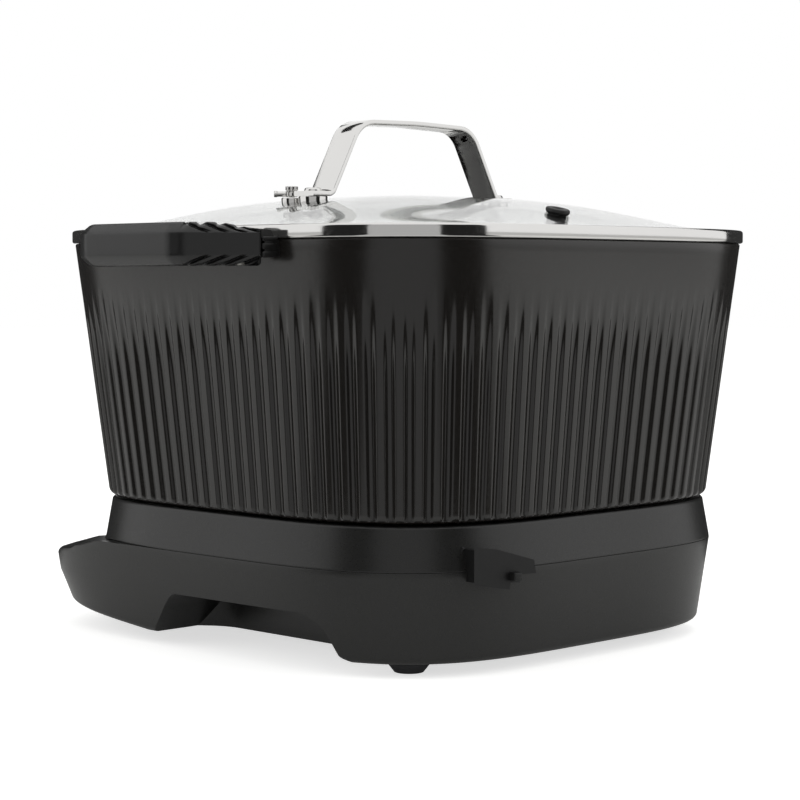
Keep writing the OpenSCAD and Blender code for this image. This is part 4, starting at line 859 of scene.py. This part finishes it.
def handle_part():
    """The loop's wall with its upper and lower faces closed, which leaves the hand opening free."""
    rows = handle_rows()
    v, f = skin(rows, "open")
    n = rows.shape[1]
    at = rows[0][:, :2]
    near = [int(np.argmin(np.abs(at - p).sum(1))) for p in ([ROOT_X, -HANDLE_ROOT], [ROOT_X, HANDLE_ROOT])]
    first, turn = near[0], (near[1] - near[0]) % n + 2
    top = strip_cap(rows[-1], first, turn)
    low = strip_cap(rows[0], first, turn)
    return v, f + [low[:, ::-1], top + (len(rows) - 1) * n]


def lug_parts():
    """Two cast ears that leave the pot's wall and hold the legs: three ribs, two slots, and a wedge on top."""
    found = []
    z = HANDLE_Z - 1.3
    for side in (-1, 1):
        y = side * (HANDLE_ROOT - 7.5)
        for low, high in ((-4.6, -2.0), (-1.1, 1.5), (2.4, 4.6)):
            found.append(block([ROOT_X - 9, y - 7.2, z + low], [ROOT_X - 0.2, y + 7.2, z + high], 0.6))
        found.append(block([POT_RIM_HALF - 3.2, y - 6.8, z - 4.4], [ROOT_X - 1.6, y + 6.8, RIM_Z - 0.6], 0.5))
        wedge = np.array([[ROOT_X + 0.5, HANDLE_Z + 2.6], [ROOT_X + 0.5, HANDLE_Z + 6.4],
                          [ROOT_X - 5.0, HANDLE_Z + 6.0], [BAND_HALF + 0.1, RIM_Z + 0.4]])
        rows = [np.column_stack([wedge[:, 0], np.full(4, y + d), wedge[:, 1]]) for d in (-6.9, 6.9)]
        found.append(skin(rows, "flat"))
    return found


def mirrored(part, side):
    """A part of the right side, or its mirror copy with side -1, which make_mesh turns right way out again."""
    return part[0] * [side, 1, 1], part[1]


for side, name in ((1, "right"), (-1, "left")):
    place(make_mesh(name + "_loop", [mirrored(handle_part(), side)], 28),
          "pot", "handle_black", name + "_handle")
    place(make_mesh(name + "_ears", [mirrored(p, side) for p in lug_parts()]),
          "pot", "handle_black", name + "_lugs")

# ---- lid
SQUARE = square(288)


def glass_rows():
    """Upper face z = edge + h(1 - s^3)^2, a half-round edge, then the same face 3.8 mm lower."""
    shares = np.concatenate([np.linspace(0.02, 0.9, 40), np.linspace(0.92, 0.985, 8)])
    top = rows_at(SQUARE, shares * GLASS_HALF, dome_height(shares))
    r = GLASS_T / 2
    side = arc(GLASS_HALF - r, EDGE_Z - r, r, 75, -75, 7)
    edge = rows_at(SQUARE, side[:, 0], side[:, 1])
    return np.concatenate([top, edge, top[::-1] - [0, 0, GLASS_T]])


place(make_mesh("lid_dome", [skin(glass_rows())], 60), "lid", "lid_glass", "lid_glass")


def band_rows():
    """Rolled strip: skirt inside the pot's rim, flat underside, upright outer wall, lip turned over the glass."""
    z0, z1, t = BAND_Z, BAND_Z + 6.2, 0.8
    skirt = POT_RIM_HALF - POT_WALL - 1.4
    section = profile(
        arc(BAND_HALF - 1.0, z0 + 1.0, 1.0, -90, 0, 6), arc(BAND_HALF - 1.3, z1 - 1.3, 1.3, 0, 90, 7),
        [BAND_HALF - 6.6, z1], [BAND_HALF - 7, z1 - 0.4], [BAND_HALF - 6.6, z1 - t],
        arc(BAND_HALF - 1.5, z1 - 1.5, 0.7, 90, 0, 4), arc(BAND_HALF - 1.3, z0 + 1.3, 0.5, 0, -90, 4),
        [skirt, z0 + t], [skirt - t, z0 + t - 0.2], [skirt - t, z0 - 4.8], [skirt - t / 2, z0 - 5],
        [skirt, z0 - 4.8], [skirt, z0 - 0.4], [skirt + 0.4, z0])
    return rows_at(square(360), section[:, 0], section[:, 1])


place(make_mesh("lid_rim", [skin(band_rows(), "ring")], 35), "lid", "bright_steel", "lid_band")

STRAP_WIDE, STRAP_T = 15.5, 2.4
FOOT_TOP = dome_at(SCREW_X - 7, 0) + 1.2 + STRAP_T
STRAP_Z = DOME_Z + 37.3


def strap_rows():
    """Strip of 15.5 by 2.4 mm along a bent line: foot, bend of 4 mm, leg, knee of 15 mm, slightly crowned top."""
    half_w, half_t = STRAP_WIDE / 2, STRAP_T / 2
    line = rounded([[-70, FOOT_TOP - half_t], [-58, FOOT_TOP - half_t], [-39, STRAP_Z - 2.2], [0, STRAP_Z - 1.25],
                    [39, STRAP_Z - 2.2], [58, FOOT_TOP - half_t], [70, FOOT_TOP - half_t], [0, -400]],
                   [0, 4, 15, 300, 15, 4, 0, 0], 12)[:-1]
    d = np.gradient(line, axis=0)
    d /= np.linalg.norm(d, axis=1)[:, None]
    up = np.stack([-d[:, 1], d[:, 0]], 1)
    section = rounded(rectangle(-half_w, -half_t, half_w, half_t), 0.45, 4)
    ends = np.clip((np.abs(line[:, 0]) - 68.3) / 1.7, 0, 1)[:, None]
    xz = line[:, None] + section[None, :, 1:] * up[:, None]
    return np.stack([xz[..., 0], section[:, 0] * (1 - 0.12 * ends ** 2), xz[..., 1]], 2)


place(make_mesh("strap", [skin(strap_rows(), "flat")], 30), "lid", "bright_steel", "lid_handle")

washer = profile([2.7, -2.8], [6.6, -2.8], arc(6.6, 0.8, 0.4, 0, 90, 4), [2.7, 1.2])
washers = make_mesh("strap_washers", [
    moved(skin(turned(washer, 64), "ring"), (x, 0, FOOT_TOP - 3.6)) for x in (-SCREW_X, SCREW_X)])
place(washers, "lid", "bright_steel", "handle_washers")

head = profile([0.01, -12], [2.5, -12], [2.5, 0], [4.3, 0], [4.3, 0.35], arc(2.9, 0.35, 1.35, 0, 75, 5),
               [1.6, 1.7], [1.3, 0.9], [0.01, 0.9])
under = dome_at(SCREW_X + 6, 0) - GLASS_T
nut = np.array([[0.01, -2.8], [4.6, -2.8], [5.0, -2.4], [5.0, -0.6], [0.01, -0.3]])
bolts = make_mesh("strap_bolts", [moved(skin(turned(head, 48)), (x, 0, FOOT_TOP)) for x in (-SCREW_X, SCREW_X)]
                  + [moved(skin(turned(nut, 6)), (x, 0, under)) for x in (-SCREW_X, SCREW_X)])
place(bolts, "lid", "bright_steel", "lid_screws")

vent_share = float(share_at(0, VENT_Y))
vent_tilt = -math.atan(6 * DOME_H * (1 - vent_share ** 3) * vent_share ** 2 / GLASS_HALF)
grommet = profile([1.8, -5.4], [4.8, -5.4], arc(4.8, -5.0, 0.4, -90, 0, 4), [5.2, -4.2], [4.4, -4.2],
                  [4.4, 0.2], [5.2, 0.2], [5.8, 1.2], arc(4.9, 1.9, 0.8, 0, 90, 5), [3.4, 2.7], [2.6, 2.4],
                  [1.8, 1.4])
vent = make_mesh("vent_grommet", [
    moved(skin(turned(grommet, 64), "ring"), (0, VENT_Y, dome_at(0, VENT_Y)),
          Matrix.Rotation(vent_tilt, 4, "X"))])
place(vent, "lid", "vent_black", "steam_vent")

VALVE_Z = dome_at(VALVE_X - 5, VALVE_Y) + 0.1
seat = profile([0.01, -9.8], [2.4, -9.8], [2.4, -3], [4.8, -3], [5, 0.4], arc(4.5, 0.6, 0.5, 0, 90, 4),
               [1.4, 1.1], [1.4, 4.3], [0.01, 4.3])
place(make_mesh("valve_flange", [moved(skin(turned(seat, 64)), (VALVE_X, VALVE_Y, VALVE_Z))]),
      "lid", "bright_steel", "valve_seat")
cap_profile = profile([1.46, 0.05], [2.5, 0.05], [3.1, 0.5], [3.1, 2.4], [2.6, 2.7], [2.6, 3.1], [3.1, 3.4],
                      [3.1, 4.6], arc(2.6, 4.7, 0.5, 0, 90, 4), [1.7, 5.2], [1.46, 4.9])
lever = profile([0.01, 1.5], [1.3, 1.5], [1.3, 6.9], [1.55, 7.1], [1.55, 8.3], [1.3, 8.5], [0.01, 8.5])
cap = make_mesh("valve_knob", [
    moved(skin(turned(cap_profile, 96, 16, 0.28, (0.4, 5)), "ring"), (VALVE_X, VALVE_Y, VALVE_Z + 1.4)),
    moved(skin(turned(lever, 32)), (VALVE_X, VALVE_Y, VALVE_Z + 2.9),
          Matrix.Rotation(math.radians(315), 4, "Z") @ Matrix.Rotation(math.pi / 2, 4, "Y")),
])
place(cap, "valve", "bright_steel", "valve_cap")

# ---- floor, backdrop and light
FLOOR_HALF, FLOOR_GLOW, FLOOR_PAINTED_REFLECTION_GLOW, CARD_FAR = 6, 0.65, 0.08, 1.45


def matt(name, base, rough):
    """Surface without any shine, ready to glow: the floor's paper, or a card that only paints a reflection; gives
    the material and its shader.
    """
    material = bpy.data.materials.new(name)
    material.use_nodes = True
    shader = material.node_tree.nodes["Principled BSDF"]
    for key, value in (("Base Color", base), ("Roughness", rough), ("Specular IOR Level", 0.0),
                       ("Emission Color", (1, 1, 1, 1))):
        shader.inputs[key].default_value = value
    return material, shader


floor_mesh = bpy.data.meshes.new("floor")
corners = rectangle(-FLOOR_HALF, -FLOOR_HALF, FLOOR_HALF, FLOOR_HALF)
floor_mesh.from_pydata([(x, y, 0) for x, y in corners], [], [(0, 1, 2, 3)])
floor = put("floor", floor_mesh)
# studio paper: glows white to the camera and keeps the object's shadow; to mirroring surfaces it glows a little
# too, a painted reflection that lightens the object's lower faces
paper, shader = matt("white_studio_paper", colour("#e6e6e4"), 0.9)
tree = paper.node_tree
path = add(tree, "ShaderNodeLightPath")
seen = add(tree, "ShaderNodeMath", {"operation": "MULTIPLY"}, i0=path.outputs["Is Camera Ray"], i1=FLOOR_GLOW)
# painted reflection: a small glow of the paper that only mirrored rays see
glow = add(tree, "ShaderNodeMath", {"operation": "MULTIPLY_ADD"}, i0=path.outputs["Is Glossy Ray"],
           i1=FLOOR_PAINTED_REFLECTION_GLOW, i2=seen.outputs[0])
tree.links.new(glow.outputs[0], shader.inputs["Emission Strength"])
floor.data.materials.append(paper)

world = bpy.data.worlds.new("studio")
bpy.context.scene.world = world
world.use_nodes = True
tree = world.node_tree
path = add(tree, "ShaderNodeLightPath")
strength = add(tree, "ShaderNodeMapRange", None, Value=path.outputs["Is Diffuse Ray"], To_Min=1.0, To_Max=0.6)
background = tree.nodes["Background"]
background.inputs["Color"].default_value = (1, 1, 1, 1)
tree.links.new(strength.outputs["Result"], background.inputs["Strength"])


def screen(name, start, end, level, low=0.0, high=1.1, apron=0.3):
    """Curved card 1.45 m away between two angles counted from the camera's side, seen only by mirrored light: a
    painted reflection that casts no shadow and lights nothing, dark at a low level and bright at a high one. One
    that stands on the floor has an apron of the same tone in front of it, a painted reflection of the floor; level
    is how bright both glow."""
    n = 9
    a = np.radians(np.linspace(start, end, n))
    direction = np.outer(np.cos(a), BACK) + np.outer(np.sin(a), SIDE)
    rows = [direction * CARD_FAR + [0, 0, high], direction * CARD_FAR + [0, 0, low]]
    if not low:
        rows += [direction * CARD_FAR + [0, 0, 0.001], direction * apron + [0, 0, 0.001]]
    mesh = bpy.data.meshes.new(name)
    mesh.from_pydata(np.concatenate(rows), [], [(k + i, k + i + 1, k + i + n + 1, k + i + n)
                                                for k in range(0, (len(rows) - 1) * n, n) for i in range(n - 1)])
    card = put(name, mesh)
    card.visible_camera = card.visible_diffuse = card.visible_shadow = card.visible_transmission = False
    card_paint, shader = matt(name + "_reflection_paint", (0.01, 0.01, 0.01, 1), 1.0)
    shader.inputs["Emission Strength"].default_value = level
    mesh.materials.append(card_paint)


# Painted reflections: near-black cards at the sides, behind and high up, and a glowing one in the middle, seen
# only by mirrored rays, put dark and light bands into the reflections on the pot, the band and the plastics.
screen("painted_dark_reflection_left", -58, -30, 0.01)
screen("painted_bright_reflection_middle", -30, 24, 0.5)
screen("painted_dark_reflection_right", 24, 54, 0.01)
screen("painted_dark_reflection_behind_right", 118, 165, 0.03)
screen("painted_dark_reflection_behind_left", -165, -118, 0.03)
screen("painted_dark_reflection_high", -165, -126, 0.01, low=1.45, high=1.9)


def softbox(name, at, to, size, watts):
    """Large even lamp with a soft edge to its shadow."""
    data = bpy.data.lights.new(name, "AREA")
    data.shape, data.size, data.size_y, data.energy = "RECTANGLE", size[0], size[1], watts
    lamp = put(name, data)
    lamp.location = at
    lamp.rotation_euler = (Vector(to) - Vector(at)).to_track_quat("-Z", "Y").to_euler()
    lamp.visible_glossy = False


middle = Vector((0, MIDDLE_Y, 0.12))
softbox("left_box", middle - SIDE * 1.3 + BACK * 0.25 + Vector((0, 0, 0.35)), middle, (1.2, 1.0), 4)
softbox("right_box", middle + SIDE * 1.3 + BACK * 0.35 + Vector((0, 0, 0.3)), middle, (1.2, 1.0), 5)
softbox("top_box", middle + Vector((0, 0, 1.3)) - BACK * 0.3, middle, (1.6, 1.6), 5)

bpy.context.scene.view_settings.view_transform = "Standard"
